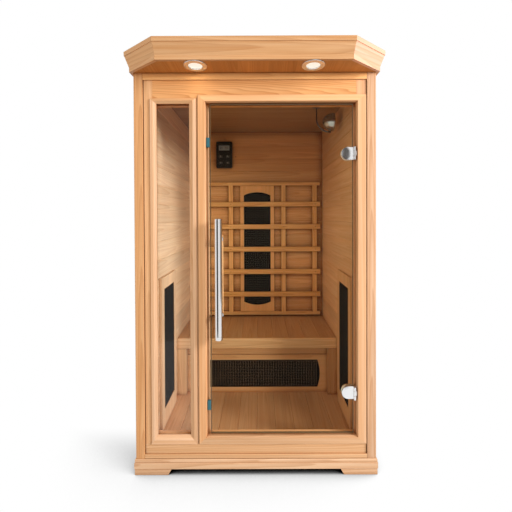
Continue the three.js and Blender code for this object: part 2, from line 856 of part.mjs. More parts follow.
function addBenchHeater() {
  const group = new THREE.Group();
  const bottom = floorHeight + fit;
  const top = apronBottom - benchSlot;
  const halfHeight = (top - bottom) / 2;
  const half = halfInside - fit;
  const rise = seatUnder - fit - top;
  const strip = rectangle(halfHeight - slotBoardThickness, halfHeight + rise, -half, half);
  group.position.set(0, benchFront + benchLegDepth + fit + heaterFrameThickness, bottom + halfHeight);
  addHeater('bench', group, {
    width: 2 * (halfHeight - benchHeaterMargin),
    height: 2 * (half - benchHeaterEndMargin),
    arch: benchHeaterArch,
    boardShape: rectangle(-halfHeight, halfHeight, -half, half),
    backing: extrude('z', strip, 0, slotBoardThickness),
    lying: true,
  });
}

function addSideHeaters() {
  const half = sideHeaterWidth / 2 + sideBoardMargin;
  const bottom = floorHeight + fit;
  const height = sideBoardHeight - sideHeaterRise - sideHeaterTopMargin;
  const middle = bottom + sideHeaterRise + height / 2;
  const y = benchFront - sideHeaterFromBench - half;
  for (const [place, side] of [['left', -1], ['right', 1]]) {
    const group = new THREE.Group();
    group.position.set(side * (halfInside - fit), y, middle);
    group.rotation.z = -side * Math.PI / 2;
    addHeater(place, group, {
      width: sideHeaterWidth,
      height,
      arch: 0,
      boardShape: rectangle(-half, half, bottom - middle, bottom + sideBoardHeight - middle),
    });
  }
}

// Bench and backrest

function addBench() {
  const half = halfInside - fit;
  const apronBack = benchFront + apronThickness;
  const seatFront = apronBack + fit;
  const seatTop = boardedFace(-half, half, benchHeight, -1);
  const seat = outline([[-half, seatUnder], [half, seatUnder], ...seatTop.reverse()]);
  addPiece('bench_seat', extrude('y', seat, seatFront, insideBack - fit), wood());
  const apron = board([-half, benchFront, apronBottom], [half, apronBack, benchHeight], apronEase);
  addPiece('bench_apron', apron, wood());
  const legBack = benchFront + benchLegDepth;
  const floor = floorHeight + fit;
  const section = outline([
    [benchFront, floor], [legBack, floor], [legBack, seatUnder - fit], [seatFront, seatUnder - fit],
    [seatFront, apronBottom - fit], [benchFront, apronBottom - fit],
  ]);
  addPiece('bench_leg_left', extrude('x', section, -half, -half + benchLegWidth), wood());
  addPiece('bench_leg_right', extrude('x', section, half - benchLegWidth, half), wood());
}

function addBackrest() {
  const half = halfInside - backrestSideGap;
  const rear = insideBack - fit;
  const front = rear - columnDepth;
  const rails = [backrestBottom, backrestTop - railHeight].map((low) =>
    board([-half, front, low], [half, rear, low + railHeight]));
  const columnOuter = half - columnInset;
  const columnInner = backHeaterWidth / 2 + backBoardMargin + columnHeaterGap + columnWidth / 2;
  const [columnLow, columnHigh] = [backrestBottom + overlap, backrestTop - overlap];
  const columns = [-columnOuter, -columnInner, columnInner, columnOuter].map((x) =>
    board([x - columnWidth / 2, front, columnLow], [x + columnWidth / 2, rear, columnHigh], 0));
  addPiece('backrest_frame', joined(...rails, ...columns), wood());
  const lowest = backrestBottom + railHeight + slatsAboveRail;
  const highest = backrestTop - railHeight - slatsBelowRail - slatHeight;
  for (let i = 0; i < slatCount; i += 1) {
    const low = lowest + (highest - lowest) * (i / (slatCount - 1));
    addPiece(`backrest_slat_${i + 1}`, board(
      [-half, front - fit - slatThickness, low],
      [half, front - fit, low + slatHeight],
      slatEase,
    ), wood());
  }
}

// Lamp: a dome that turns on the end of a bent rod.

const quarterTurn = [0, 1, 2, 3, 4, 5, 6, 7, 8].map((step) => (step / 8) * (Math.PI / 2));

function addLamp() {
  const stemX = halfInside - lampFromWall;
  const y = frontThickness + lampFromFront;
  const ceiling = soffitHeight - fit;
  const bendTop = soffitHeight - yokeDrop;
  const pivotX = stemX + yokeBend;
  const bendBottom = bendTop - yokeBend;
  const route = new THREE.CurvePath();
  const stemTop = new THREE.Vector3(stemX, y, ceiling - overlap);
  route.add(new THREE.LineCurve3(stemTop, new THREE.Vector3(stemX, y, bendTop)));
  const bend = quarterTurn.map((turn) => new THREE.Vector3(
    pivotX - yokeBend * Math.cos(turn),
    y,
    bendTop - yokeBend * Math.sin(turn),
  ));
  route.add(new THREE.CatmullRomCurve3(bend));
  const section = new THREE.Shape().absarc(0, 0, yokeRadius, 0, 2 * Math.PI);
  const rod = new THREE.ExtrudeGeometry(section, { steps: 20, extrudePath: route, curveSegments: 5 });
  const rose = turned([
    [0, -roseThickness], [roseRadius - roseEase, -roseThickness], [roseRadius, roseEase - roseThickness],
    [roseRadius, 0], [0, 0],
  ]).translate(stemX, y, ceiling);

  const hubBottom = bendBottom + yokeRadius + fit;
  const hubTop = hubBottom + domeHubLength;
  const seat = cylinder('z', domeHubRadius, [pivotX, y], bendBottom - yokeRadius, bendBottom + yokeRadius);
  const pin = cylinder('z', lampPinRadius, [pivotX, y], bendBottom, hubTop + lampPinTip);
  addPiece('lamp_yoke', joined(rod, rose, seat, pin), chrome());

  const atHub = domeRadius * Math.sqrt(1 - (domeRimAhead / domeDepth) ** 2);
  const centre = hubTop - 2 * domeWall + atHub;
  const bowl = (radius, depth) => quarterTurn.map((a) => [radius * Math.sin(a), -depth * Math.cos(a)]);
  const outer = bowl(domeRadius, domeDepth);
  const inner = bowl(domeRadius - domeWall, domeDepth - domeWall);
  const shell = turned([...outer, ...inner.reverse()], 24);
  shell.rotateY(Math.PI / 2);
  shell.translate(pivotX + domeRimAhead, y, centre);
  const hub = cylinder('z', domeHubRadius, [pivotX, y], hubBottom, hubTop);
  const boreTop = hubTop + 2 * lampPinTip;
  const bore = cylinder('z', lampPinRadius + fit, [pivotX, y], hubBottom - overlap, boreTop);
  addPiece('lamp_dome', cut(joined(shell, hub), bore), chrome());
}

// Control panel

function addControls() {
  const rear = insideBack - fit;
  const face = rear - controlDepth;
  const [left, right] = [-controlFromMiddle - controlWidth / 2, -controlFromMiddle + controlWidth / 2];
  const top = soffitHeight - controlFromCeiling;
  const bottom = top - controlHeight;
  const body = extrude('y', rectangle(left, right, bottom, top, controlCorner), face, rear);
  const displayTop = top - displayFromTop;
  const displayRoom = board(
    [-controlFromMiddle - displayWidth / 2, face - overlap, displayTop - displayHeight],
    [-controlFromMiddle + displayWidth / 2, face + displayRecess, displayTop],
    0,
  );
  const wells = [];
  const keys = [];
  for (const [row, z] of [bottom + keyRowFromBottom + keyPitchZ, bottom + keyRowFromBottom].entries()) {
    for (const [column, offset] of [-keyPitchX / 2, keyPitchX / 2].entries()) {
      const x = -controlFromMiddle + offset;
      const low = [x - keyWidth / 2, face - keyProud, z - keyHeight / 2];
      const high = [x + keyWidth / 2, face - keyProud + keyThickness, z + keyHeight / 2];
      keys.push([`control_key_${row * 2 + column + 1}`, board(low, high, keyEase)]);
      const wellLow = [low[0] - fit, face - keyProud, low[2] - fit];
      wells.push(board(wellLow, [high[0] + fit, high[1] + keyTravel + fit, high[2] + fit], 0));
    }
  }
  addPiece('control_housing', cut(body, displayRoom, ...wells), finish(colours.black, 0.35));
  for (const [name, geometry] of keys) {
    addPiece(name, geometry, finish(colours.black, 0.5));
  }
}

addBase();
addFrontFrame();
addWindow();
addDoorCasing();
addWalls();
addCrown();
addRoof();
addDownlight('left', -downlightX);
addDownlight('right', downlightX);
addPowerBox();
addBackHeater();
addBenchHeater();
addSideHeaters();
addBench();
addBackrest();
addDoor();
addLamp();
addControls();

// The origin is the middle of the footprint of the whole cabin, crown included, at floor level.
cabin.position.y = (crownOverhang + crownFlare - bodyDepth) / 2;

export default cabin;
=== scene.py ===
import json
import math

import bmesh
import bpy
from mathutils import Euler, Matrix, Vector


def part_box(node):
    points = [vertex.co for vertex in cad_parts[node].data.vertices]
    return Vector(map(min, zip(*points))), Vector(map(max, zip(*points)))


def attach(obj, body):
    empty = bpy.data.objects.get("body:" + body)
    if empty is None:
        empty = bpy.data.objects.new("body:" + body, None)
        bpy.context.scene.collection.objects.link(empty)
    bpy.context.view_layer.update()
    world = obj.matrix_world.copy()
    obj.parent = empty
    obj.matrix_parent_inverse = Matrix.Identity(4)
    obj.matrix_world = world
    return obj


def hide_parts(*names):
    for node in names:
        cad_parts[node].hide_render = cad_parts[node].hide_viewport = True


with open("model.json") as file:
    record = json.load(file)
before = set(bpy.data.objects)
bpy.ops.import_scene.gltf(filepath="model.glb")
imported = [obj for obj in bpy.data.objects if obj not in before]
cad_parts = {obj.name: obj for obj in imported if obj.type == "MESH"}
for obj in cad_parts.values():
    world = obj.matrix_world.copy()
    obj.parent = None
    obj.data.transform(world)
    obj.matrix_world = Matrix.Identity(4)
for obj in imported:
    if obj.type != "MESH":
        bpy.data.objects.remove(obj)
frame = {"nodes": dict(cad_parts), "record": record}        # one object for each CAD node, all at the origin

nodes = frame["nodes"]
slotOf = {row["node"]: row["material_slot"] for row in frame["record"]["subparts"]}
scene = bpy.context.scene
scene.view_settings.view_transform = "Standard"
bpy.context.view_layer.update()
xAxis, yAxis, zAxis = Vector((1, 0, 0)), Vector((0, 1, 0)), Vector((0, 0, 1))
print("frame loaded:", len(nodes), "nodes")

# camera, found from the straight edges of the cabin in the photograph
viewpoint = {
    "place": (0.02219, -1.87468, 1.16857),
    "pitch": -0.0090,
    "yaw": 0.00093,
    "roll": -0.00387,
    "focalLength": 315.42,        # in pixels of the square image
    "imageSize": 512,
    "opticalCentre": (259.80, 219.305),
    "sensor": 36,
}


def makeCamera(setup):
    lens = bpy.data.cameras.new("viewCamera")
    lens.sensor_width = setup["sensor"]
    lens.lens = setup["focalLength"] * setup["sensor"] / setup["imageSize"]
    lens.shift_x = 0.5 - setup["opticalCentre"][0] / setup["imageSize"]
    lens.shift_y = setup["opticalCentre"][1] / setup["imageSize"] - 0.5
    camera = bpy.data.objects.new("viewCamera", lens)
    aim = Euler((math.pi / 2 + setup["pitch"], 0, setup["yaw"])).to_matrix()
    aim = aim @ Matrix.Rotation(setup["roll"], 3, "Z")
    camera.matrix_world = Matrix.Translation(setup["place"]) @ aim.to_4x4()
    scene.collection.objects.link(camera)
    scene.camera = camera


makeCamera(viewpoint)
print("camera set")


# small helpers for node trees
def addNode(tree, kind, inputs=None, **settings):
    node = tree.nodes.new(kind)
    for name, value in settings.items():
        setattr(node, name, value)
    for key, value in (inputs or {}).items():
        if isinstance(value, bpy.types.NodeSocket):
            tree.links.new(value, node.inputs[key])
        else:
            node.inputs[key].default_value = value
    return node


def calc(tree, operation, *values, clamp=False):
    node = addNode(tree, "ShaderNodeMath", dict(enumerate(values)), operation=operation, use_clamp=clamp)
    return node.outputs[0]


def vectorCalc(tree, operation, *values, out="Vector"):
    return addNode(tree, "ShaderNodeVectorMath", dict(enumerate(values)), operation=operation).outputs[out]


def mixColours(tree, factor, first, second, blend="MIX"):
    inputs = {0: factor, 6: first, 7: second}
    return addNode(tree, "ShaderNodeMix", inputs, data_type="RGBA", blend_type=blend).outputs[2]


def ease(tree, value, low, high):
    inputs = {"Value": value, "From Min": low, "From Max": high}
    return addNode(tree, "ShaderNodeMapRange", inputs, interpolation_type="SMOOTHSTEP").outputs[0]


def noise(tree, vector, scale=1.0, detail=2.0, roughness=0.5):
    inputs = {"Vector": vector, "Scale": scale, "Detail": detail, "Roughness": roughness}
    return addNode(tree, "ShaderNodeTexNoise", inputs).outputs[0]


def combine(tree, x, y, z):
    return addNode(tree, "ShaderNodeCombineXYZ", {0: x, 1: y, 2: z}).outputs[0]


def paint(red, green, blue):        # a screen colour, 0 to 255, as linear light
    def linear(level):
        share = level / 255
        return share / 12.92 if share <= 0.04045 else ((share + 0.055) / 1.055) ** 2.4
    return (linear(red), linear(green), linear(blue), 1.0)


def makeGroup(name, inputs, outputs, treeKind="ShaderNodeTree"):
    tree = bpy.data.node_groups.new(name, treeKind)
    for label, kind, value in inputs:
        socket = tree.interface.new_socket(label, in_out="INPUT", socket_type="NodeSocket" + kind)
        if value is not None:
            socket.default_value = value
    for label, kind in outputs:
        tree.interface.new_socket(label, in_out="OUTPUT", socket_type="NodeSocket" + kind)
    return tree, tree.nodes.new("NodeGroupInput").outputs, tree.nodes.new("NodeGroupOutput").inputs


def newMaterial(name, **constants):
    material = bpy.data.materials.new(name)
    material.use_nodes = True
    tree = material.node_tree
    shader = tree.nodes["Principled BSDF"]
    for label, value in constants.items():
        shader.inputs[label].default_value = value
    return material, tree, shader


def objectSpot(tree):
    return addNode(tree, "ShaderNodeTexCoord").outputs["Object"]


def useGroup(tree, group, inputs):
    node = tree.nodes.new("ShaderNodeGroup")
    node.node_tree = group
    for label, value in inputs.items():
        if isinstance(value, bpy.types.NodeSocket):
            tree.links.new(value, node.inputs[label])
        else:
            node.inputs[label].default_value = value
    return node.outputs


def addBump(tree, shader, height, distance, strength):
    bump = addNode(tree, "ShaderNodeBump", {"Height": height, "Distance": distance, "Strength": strength})
    tree.links.new(bump.outputs[0], shader.inputs["Normal"])


# softwood: growth rings cut by the board's faces, fine streaks, and a tint of its own for each board
grainColours = {
    "early": paint(236, 187, 138),
    "honey": paint(222, 163, 108),
    "late": paint(190, 124, 70),
    "warm": (1.03, 0.985, 0.94, 1),
    "cool": (0.985, 1.0, 1.02, 1),
}


def makeGrainGroup(colours):
    tree, given, result = makeGroup("hemlockGrain", [
        ("Position", "Vector", (0, 0, 0)), ("Grain", "Vector", (0, 0, 1)), ("Across", "Vector", (1, 0, 0)),
        ("Start", "Float", 0), ("Pitch", "Float", 0.1), ("Face", "Float", 0), ("Seed", "Float", 0),
        ("Heart", "Float", 0.05), ("Ring", "Float", 0.005), ("Taper", "Float", 0.012),
        ("Warp", "Float", 0.006), ("Figure", "Float", 0.5), ("Streak", "Float", 0.6), ("Tint", "Color", (1, 1, 1, 1)),
    ], [("Color", "Color"), ("Roughness", "Float"), ("Height", "Float")])
    spot = given["Position"]
    sideways = vectorCalc(tree, "DOT_PRODUCT", spot, given["Across"], out="Value")
    steps = calc(tree, "DIVIDE", calc(tree, "SUBTRACT", sideways, given["Start"]), given["Pitch"])
    boardNumber = calc(tree, "FLOOR", steps)
    fromMiddle = calc(tree, "SUBTRACT", calc(tree, "SUBTRACT", steps, boardNumber), 0.5)
    key = combine(tree, boardNumber, given["Seed"], 0.0)
    chance = addNode(tree, "ShaderNodeTexWhiteNoise", {"Vector": key}, noise_dimensions="2D").outputs["Color"]
    chances = addNode(tree, "ShaderNodeSeparateColor", {0: chance}).outputs
    lengthwise = vectorCalc(tree, "DOT_PRODUCT", spot, given["Grain"], out="Value")
    lengthwise = calc(tree, "MULTIPLY_ADD", chances[0], 9.0, lengthwise)
    depthAxis = vectorCalc(tree, "CROSS_PRODUCT", given["Grain"], given["Across"])
    depth = calc(tree, "SUBTRACT", vectorCalc(tree, "DOT_PRODUCT", spot, depthAxis, out="Value"), given["Face"])
    unique = calc(tree, "MULTIPLY_ADD", boardNumber, 3.7, given["Seed"])

    # distance from the heart of the log, which wanders along the board
    wander = calc(tree, "SUBTRACT", noise(tree, combine(tree, lengthwise, unique, 0.0), 1.1, 1.0), 0.5)
    heartSide = calc(tree, "MULTIPLY_ADD", chances[1], 0.9, fromMiddle)
    heartSide = calc(tree, "MULTIPLY", calc(tree, "SUBTRACT", heartSide, 0.45), given["Pitch"])
    heartSide = calc(tree, "MULTIPLY_ADD", wander, 0.05, heartSide)
    heartDeep = calc(tree, "MULTIPLY_ADD", chances[2], 0.8, 0.6)
    heartDeep = calc(tree, "MULTIPLY_ADD", heartDeep, given["Heart"], depth)
    squares = calc(tree, "ADD", calc(tree, "MULTIPLY", heartSide, heartSide), calc(tree, "MULTIPLY", heartDeep, heartDeep))
    reach = calc(tree, "SQRT", squares)
    reach = calc(tree, "MULTIPLY_ADD", lengthwise, given["Taper"], reach)

    def stretched(alongScale, acrossScale):
        sizes = [(lengthwise, alongScale), (sideways, acrossScale), (depth, acrossScale)]
        parts = [calc(tree, "MULTIPLY", part, scale) for part, scale in sizes]
        return vectorCalc(tree, "ADD", combine(tree, *parts), combine(tree, unique, given["Seed"], 0.0))

    warp = calc(tree, "SUBTRACT", noise(tree, stretched(2.6, 22.0), 1.0, 2.0), 0.5)
    reach = calc(tree, "MULTIPLY_ADD", warp, given["Warp"], reach)
    ring = calc(tree, "FRACT", calc(tree, "DIVIDE", reach, given["Ring"]))
    late = calc(tree, "POWER", ring, 2.2)
    late = calc(tree, "MULTIPLY", late, ease(tree, ring, 1.0, 0.93))
    streak = ease(tree, noise(tree, stretched(1.2, 75.0), 1.0, 3.0, 0.6), 0.3, 0.7)
    fibre = noise(tree, stretched(14.0, 900.0), 1.0, 1.0)

    colour = mixColours(tree, calc(tree, "MULTIPLY", streak, given["Streak"]), colours["early"], colours["honey"])
    colour = mixColours(tree, calc(tree, "MULTIPLY", late, given["Figure"]), colour, colours["late"])
    tint = mixColours(tree, chances[0], colours["warm"], colours["cool"])
    colour = mixColours(tree, 1.0, colour, tint, "MULTIPLY")
    cloud = noise(tree, stretched(1.7, 16.0), 1.0, 2.0)
    level = calc(tree, "MULTIPLY_ADD", chances[1], 0.16, 0.92)
    level = calc(tree, "MULTIPLY", level, calc(tree, "MULTIPLY_ADD", fibre, 0.12, 0.94))
    level = calc(tree, "MULTIPLY", level, calc(tree, "MULTIPLY_ADD", cloud, 0.3, 0.85))
    grey = addNode(tree, "ShaderNodeCombineColor", {0: level, 1: level, 2: level}).outputs[0]
    colour = mixColours(tree, 1.0, colour, grey, "MULTIPLY")
    tree.links.new(mixColours(tree, 1.0, colour, given["Tint"], "MULTIPLY"), result["Color"])
    gloss = calc(tree, "MULTIPLY_ADD", fibre, 0.12, 0.4)
    tree.links.new(calc(tree, "MULTIPLY_ADD", late, 0.06, gloss), result["Roughness"])
    tree.links.new(calc(tree, "MULTIPLY_ADD", fibre, 0.5, calc(tree, "MULTIPLY", late, 0.5)), result["Height"])
    return tree


grainGroup = makeGrainGroup(grainColours)


def grainInputs(node, grain, across, boards=1, heart=0.05, ring=0.005, taper=0.012, warp=0.006,
                figure=0.5, streak=0.6, tint=(1, 1, 1), seed=1.0):
    low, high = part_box(node)
    start, end = sorted((low.dot(across), high.dot(across)))
    face = ((low + high) / 2).dot(grain.cross(across))
    return {
        "Grain": grain, "Across": across, "Start": start, "Pitch": (end - start) / boards, "Face": face,
        "Seed": seed, "Heart": heart, "Ring": ring, "Taper": taper, "Warp": warp,
        "Figure": figure, "Streak": streak, "Tint": (*tint, 1),
    }


def makePaintedShadeGroup():        # painted shade: joints, corners and recesses are darkened by ambient occlusion, where shade falls
    tree, given, result = makeGroup("cavityShade", [
        ("Color", "Color", (1, 1, 1, 1)), ("Reach", "Float", 0.03), ("Deep", "Color", (0.5, 0.3, 0.2, 1)),
        ("Closed", "Float", 0.3), ("Open", "Float", 0.95), ("Own", "Float", 0.0),
    ], [("Color", "Color")])
    reach = {"Distance": given["Reach"]}
    openness = addNode(tree, "ShaderNodeAmbientOcclusion", reach, samples=8).outputs["AO"]
    # the piece's own grooves are left out by the share given
    own = addNode(tree, "ShaderNodeAmbientOcclusion", reach, samples=8, only_local=True).outputs["AO"]
    openness = calc(tree, "MULTIPLY_ADD", calc(tree, "SUBTRACT", 1.0, own), given["Own"], openness)
    deep = mixColours(tree, 1.0, given["Color"], given["Deep"], "MULTIPLY")
    shaded = mixColours(tree, ease(tree, openness, given["Closed"], given["Open"]), deep, given["Color"])
    tree.links.new(shaded, result["Color"])
    return tree


paintedShadeGroup = makePaintedShadeGroup()
# painted shade looks; 'wall' reaches far and paints the recess behind the backrest darker
paintedShadeLooks = {
    "deep": {"Reach": 0.030, "Deep": (0.46, 0.28, 0.15, 1), "Closed": 0.22, "Open": 0.92, "Own": 0.0},
    "fine": {"Reach": 0.030, "Deep": (0.80, 0.70, 0.60, 1), "Closed": 0.22, "Open": 0.92, "Own": 0.7},
    "wall": {"Reach": 0.070, "Deep": (0.30, 0.20, 0.12, 1), "Closed": 0.25, "Open": 1.0, "Own": 0.85},
}


def woodFinish(name, base, *layers, cavity="deep"):        # layers: looks and mask of each further member
    material, tree, shader = newMaterial(name, **{"Specular IOR Level": 0.3})
    spot = objectSpot(tree)
    looks = useGroup(tree, grainGroup, {"Position": spot, **base})
    colour, roughness, height = looks["Color"], looks["Roughness"], looks["Height"]
    for inputs, mask in layers:
        other = useGroup(tree, grainGroup, {"Position": spot, **inputs})
        choose = mask(tree, spot)
        colour = mixColours(tree, choose, colour, other["Color"])
        roughness = addNode(tree, "ShaderNodeMix", {0: choose, 2: roughness, 3: other["Roughness"]}).outputs[0]
        height = addNode(tree, "ShaderNodeMix", {0: choose, 2: height, 3: other["Height"]}).outputs[0]
    # painted shade: the colour is darkened in joints, corners and recesses
    colour = useGroup(tree, paintedShadeGroup, {"Color": colour, **paintedShadeLooks[cavity]})["Color"]
    tree.links.new(colour, shader.inputs["Base Color"])
    tree.links.new(roughness, shader.inputs["Roughness"])
    addBump(tree, shader, height, 0.0004, 0.25)
    return material


def dress(node, material):
    nodes[node].data.materials.clear()
    nodes[node].data.materials.append(material)


def bandMask(axis, low, high):        # 1 where the place along an axis lies between two values
    def mask(tree, spot):
        place = vectorCalc(tree, "DOT_PRODUCT", spot, tuple(axis), out="Value")
        return calc(tree, "MULTIPLY", calc(tree, "GREATER_THAN", place, low), calc(tree, "LESS_THAN", place, high))
    return mask


# boards that run one way: grain direction, direction across the board, number of boards, looks
# each tint is partly the board's own tone and partly painted light and shade: pieces that catch the light are paler,
# shaded ones such as the seat darker
straightBoards = {
    "post_left": (zAxis, xAxis, {"seed": 1, "tint": (0.93, 0.89, 0.82), "figure": 0.5, "streak": 0.9, "ring": 0.0045}),
    "post_right": (zAxis, xAxis, {"seed": 2, "tint": (0.89, 0.94, 1.10), "figure": 0.5, "streak": 0.9, "ring": 0.0045}),
    "stile_left": (zAxis, xAxis, {"seed": 5, "figure": 0.3}),
    "stile_right": (zAxis, xAxis, {"seed": 6, "tint": (0.94, 0.91, 1.00), "figure": 0.3}),
    "mullion": (zAxis, xAxis, {"seed": 7, "tint": (1.03, 1.20, 1.35), "figure": 0.3}),
    "plinth_front": (xAxis, zAxis, {"seed": 8, "tint": (0.99, 1.09, 1.28), "figure": 0.5}),
    "plinth_left": (yAxis, zAxis, {"seed": 9, "figure": 0.5}),
    "plinth_right": (yAxis, zAxis, {"seed": 10, "figure": 0.5}),
    "crown_front": (xAxis, zAxis, {"seed": 11, "tint": (0.84, 0.83, 0.80), "figure": 0.45, "streak": 0.9}),
    "wall_left": (yAxis, zAxis, {"seed": 13, "tint": (1.08, 1.34, 1.62), "boards": 18, "figure": 0.35}),
    "wall_right": (yAxis, zAxis, {"seed": 14, "tint": (1.03, 1.22, 1.45), "boards": 18, "figure": 0.35}),
    "wall_back": (xAxis, zAxis, {"seed": 15, "tint": (0.98, 0.98, 0.90), "boards": 19, "figure": 0.35}),
    "floor_panel": (yAxis, xAxis, {"seed": 16, "tint": (0.88, 0.91, 0.95), "boards": 10, "figure": 0.4}),
    "bench_seat": (yAxis, xAxis, {"seed": 17, "tint": (0.71, 0.70, 0.63), "boards": 10, "figure": 0.4}),
    "bench_apron": (xAxis, zAxis, {"seed": 18, "tint": (1.10, 1.26, 1.36), "figure": 0.4}),
    "bench_leg_left": (zAxis, xAxis, {"seed": 19, "tint": (1.06, 1.22, 1.28)}),
    "bench_leg_right": (zAxis, xAxis, {"seed": 20, "tint": (0.82, 0.82, 0.76)}),
    "heater_back_frame": (zAxis, xAxis, {"seed": 21, "tint": (1.04, 1.08, 0.95), "figure": 0.35}),
    "heater_bench_frame": (xAxis, zAxis, {"seed": 22, "tint": (1.14, 1.22, 1.22), "figure": 0.35}),
    "heater_left_frame": (zAxis, yAxis, {"seed": 23, "tint": (1.03, 1.26, 1.52), "figure": 0.35}),
    "heater_right_frame": (zAxis, yAxis, {"seed": 24, "tint": (0.92, 1.02, 1.10), "figure": 0.35}),
    "backrest_slat_1": (xAxis, zAxis, {"seed": 25, "tint": (1.00, 1.00, 0.74)}),
    "backrest_slat_2": (xAxis, zAxis, {"seed": 26, "tint": (0.96, 0.95, 0.72)}),
    "backrest_slat_3": (xAxis, zAxis, {"seed": 27, "tint": (0.98, 0.98, 0.77)}),
    "backrest_slat_4": (xAxis, zAxis, {"seed": 28, "tint": (1.08, 1.06, 0.83)}),
    "backrest_slat_5": (xAxis, zAxis, {"seed": 29, "tint": (1.06, 1.06, 0.83)}),
}
# walls: the way in, from the plain outer face to the inner one, whose tint is painted light, paler on the side walls
wallsInward = {"wall_left": xAxis, "wall_right": -xAxis, "wall_back": -yAxis}
for node, (grain, across, looks) in straightBoards.items():
    soft = node == "crown_front" or looks.get("boards", 1) > 1
    cavity = "wall" if node == "wall_back" else "fine" if soft else "deep"
    looksNow = grainInputs(node, grain, across, **looks)
    if node in wallsInward:
        low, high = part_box(node)
        inner = bandMask(wallsInward[node], ((low + high) / 2).dot(wallsInward[node]), 1.0)
        plain = grainInputs(node, grain, across, **{**looks, "tint": (1, 1, 1)})
        dress(node, woodFinish(node + "Wood", plain, (looksNow, inner), cavity=cavity))
    else:
        dress(node, woodFinish(node + "Wood", looksNow, cavity=cavity))

# roof boards: plain on top; underneath, the soffit in front of the door and the ceiling behind it, both darker as
# painted shade
roofBoards = {
    "top": {"seed": 12, "boards": 9, "figure": 0.4},
    "soffit": {"seed": 12, "boards": 9, "figure": 0.4, "tint": (0.75, 0.54, 0.26)},
    "ceiling": {"seed": 43, "boards": 9, "figure": 0.4, "tint": (0.55, 0.62, 0.68)},
    "from": -0.42,
}
low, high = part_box("roof_panel")
under = bandMask(zAxis, 0.0, (low.z + high.z) / 2)
behind = bandMask(yAxis, roofBoards["from"], 1.0)


def ceilingMask(tree, spot):
    return calc(tree, "MULTIPLY", under(tree, spot), behind(tree, spot))


dress("roof_panel", woodFinish(
    "roofPanelWood", grainInputs("roof_panel", yAxis, xAxis, **roofBoards["top"]),
    (grainInputs("roof_panel", yAxis, xAxis, **roofBoards["soffit"]), under),
    (grainInputs("roof_panel", xAxis, yAxis, **roofBoards["ceiling"]), ceilingMask), cavity="fine",
))

# the header and the bottom rail, each with a batten of its own
# the header board's tint is painted shade under the crown, darker and deeper in colour; the header batten's tint is
# painted light, paler
battened = {
    "header_board": {
        "board": {"seed": 3, "tint": (0.92, 0.82, 0.66), "figure": 0.7, "ring": 0.0085, "taper": 0.05, "warp": 0.03, "heart": 0.02},
        "batten": {"seed": 41, "figure": 0.35, "tint": (1.14, 1.08, 0.86)}, "from": 1.7837, "to": 1.9,
    },
    "bottom_rail": {
        "board": {"seed": 4, "figure": 0.45}, "batten": {"seed": 42, "figure": 0.4}, "from": 0.0, "to": 0.0905,
    },
}
for node, look in battened.items():
    batten = grainInputs(node, xAxis, zAxis, **look["batten"])
    dress(node, woodFinish(node + "Wood", grainInputs(node, xAxis, zAxis, **look["board"]),
                           (batten, bandMask(zAxis, look["from"], look["to"]))))


def memberMasks(low, high, widths):        # masks for the members of a mitred frame in the xz plane
    edges = {"left": (-xAxis, low), "right": (xAxis, high), "foot": (-zAxis, low), "head": (zAxis, high)}

    def reach(tree, spot, member):        # 0 at the opening, 1 at the outer edge
        axis, corner = edges[member]
        inside = axis.dot(corner) - widths[member]
        place = vectorCalc(tree, "DOT_PRODUCT", spot, tuple(axis), out="Value")
        return calc(tree, "DIVIDE", calc(tree, "SUBTRACT", place, inside), widths[member])

    def maskOf(member):
        def mask(tree, spot):
            others = [reach(tree, spot, name) for name in edges if name != member]
            most = calc(tree, "MAXIMUM", calc(tree, "MAXIMUM", others[0], others[1]), others[2])
            return calc(tree, "GREATER_THAN", reach(tree, spot, member), most)
        return mask
    return {member: maskOf(member) for member in edges}


# casings round the window and the door: members as wide as in the CAD
# the members' tints are painted light and shade: members that catch the light, such as the window's sides and foot, are
# paler
casings = {
    "window_casing": {"left": 0.027, "right": 0.032, "foot": 0.038, "head": 0.021, "seed": 31,
                      "tints": {"left": (0.99, 1.08, 1.28), "right": (0.99, 1.08, 1.28), "foot": (0.99, 1.08, 1.28)}},
    "door_casing": {"left": 0.034, "right": 0.042, "foot": 0.032, "head": 0.031, "seed": 61,
                    "tints": {"left": (1.0, 0.98, 0.98), "right": (0.98, 1.02, 1.12), "foot": (1.0, 1.03, 1.10)}},
}
for node, casing in casings.items():
    masks = memberMasks(*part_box(node), casing)
    members = {}
    for number, member in enumerate(("head", "foot", "left", "right")):
        grain, across = (zAxis, xAxis) if member in ("left", "right") else (xAxis, zAxis)
        members[member] = grainInputs(node, grain, across, figure=0.4, streak=0.8, seed=casing["seed"] + number,
                                      tint=casing["tints"].get(member, (1, 1, 1)))
    layers = [(members[member], masks[member]) for member in ("foot", "left", "right")]
    dress(node, woodFinish(node + "Wood", members["head"], *layers))

# the crown's side pieces turn at a mitre, from the side of the cabin to the cut corner
crownTurn = {"place": (0.560, -0.462), "cutAcross": 0.150, "cutDepth": 0.112}


def crownFinish(node, side, seed, tint):
    cut = Vector((crownTurn["cutAcross"] * -side, -crownTurn["cutDepth"], 0)).normalized()
    bisector = (Vector((0, -1, 0)) + cut).normalized()
    corner = Vector((crownTurn["place"][0] * side, crownTurn["place"][1], 0))

    def mask(tree, spot):
        reach = vectorCalc(tree, "DOT_PRODUCT", spot, tuple(bisector), out="Value")
        return calc(tree, "GREATER_THAN", reach, corner.dot(bisector))
    straight = grainInputs(node, yAxis, zAxis, figure=0.4, seed=seed)
    turned = grainInputs(node, cut, zAxis, figure=0.4, tint=tint, seed=seed + 1)
    dress(node, woodFinish(node + "Wood", straight, (turned, mask), cavity="fine"))


crownFinish("crown_left", -1, 35, (1.0, 1.0, 1.0))
# the right cut corner's tint is a painted highlight, paler where it faces the light
crownFinish("crown_right", 1, 37, (0.98, 1.02, 1.35))


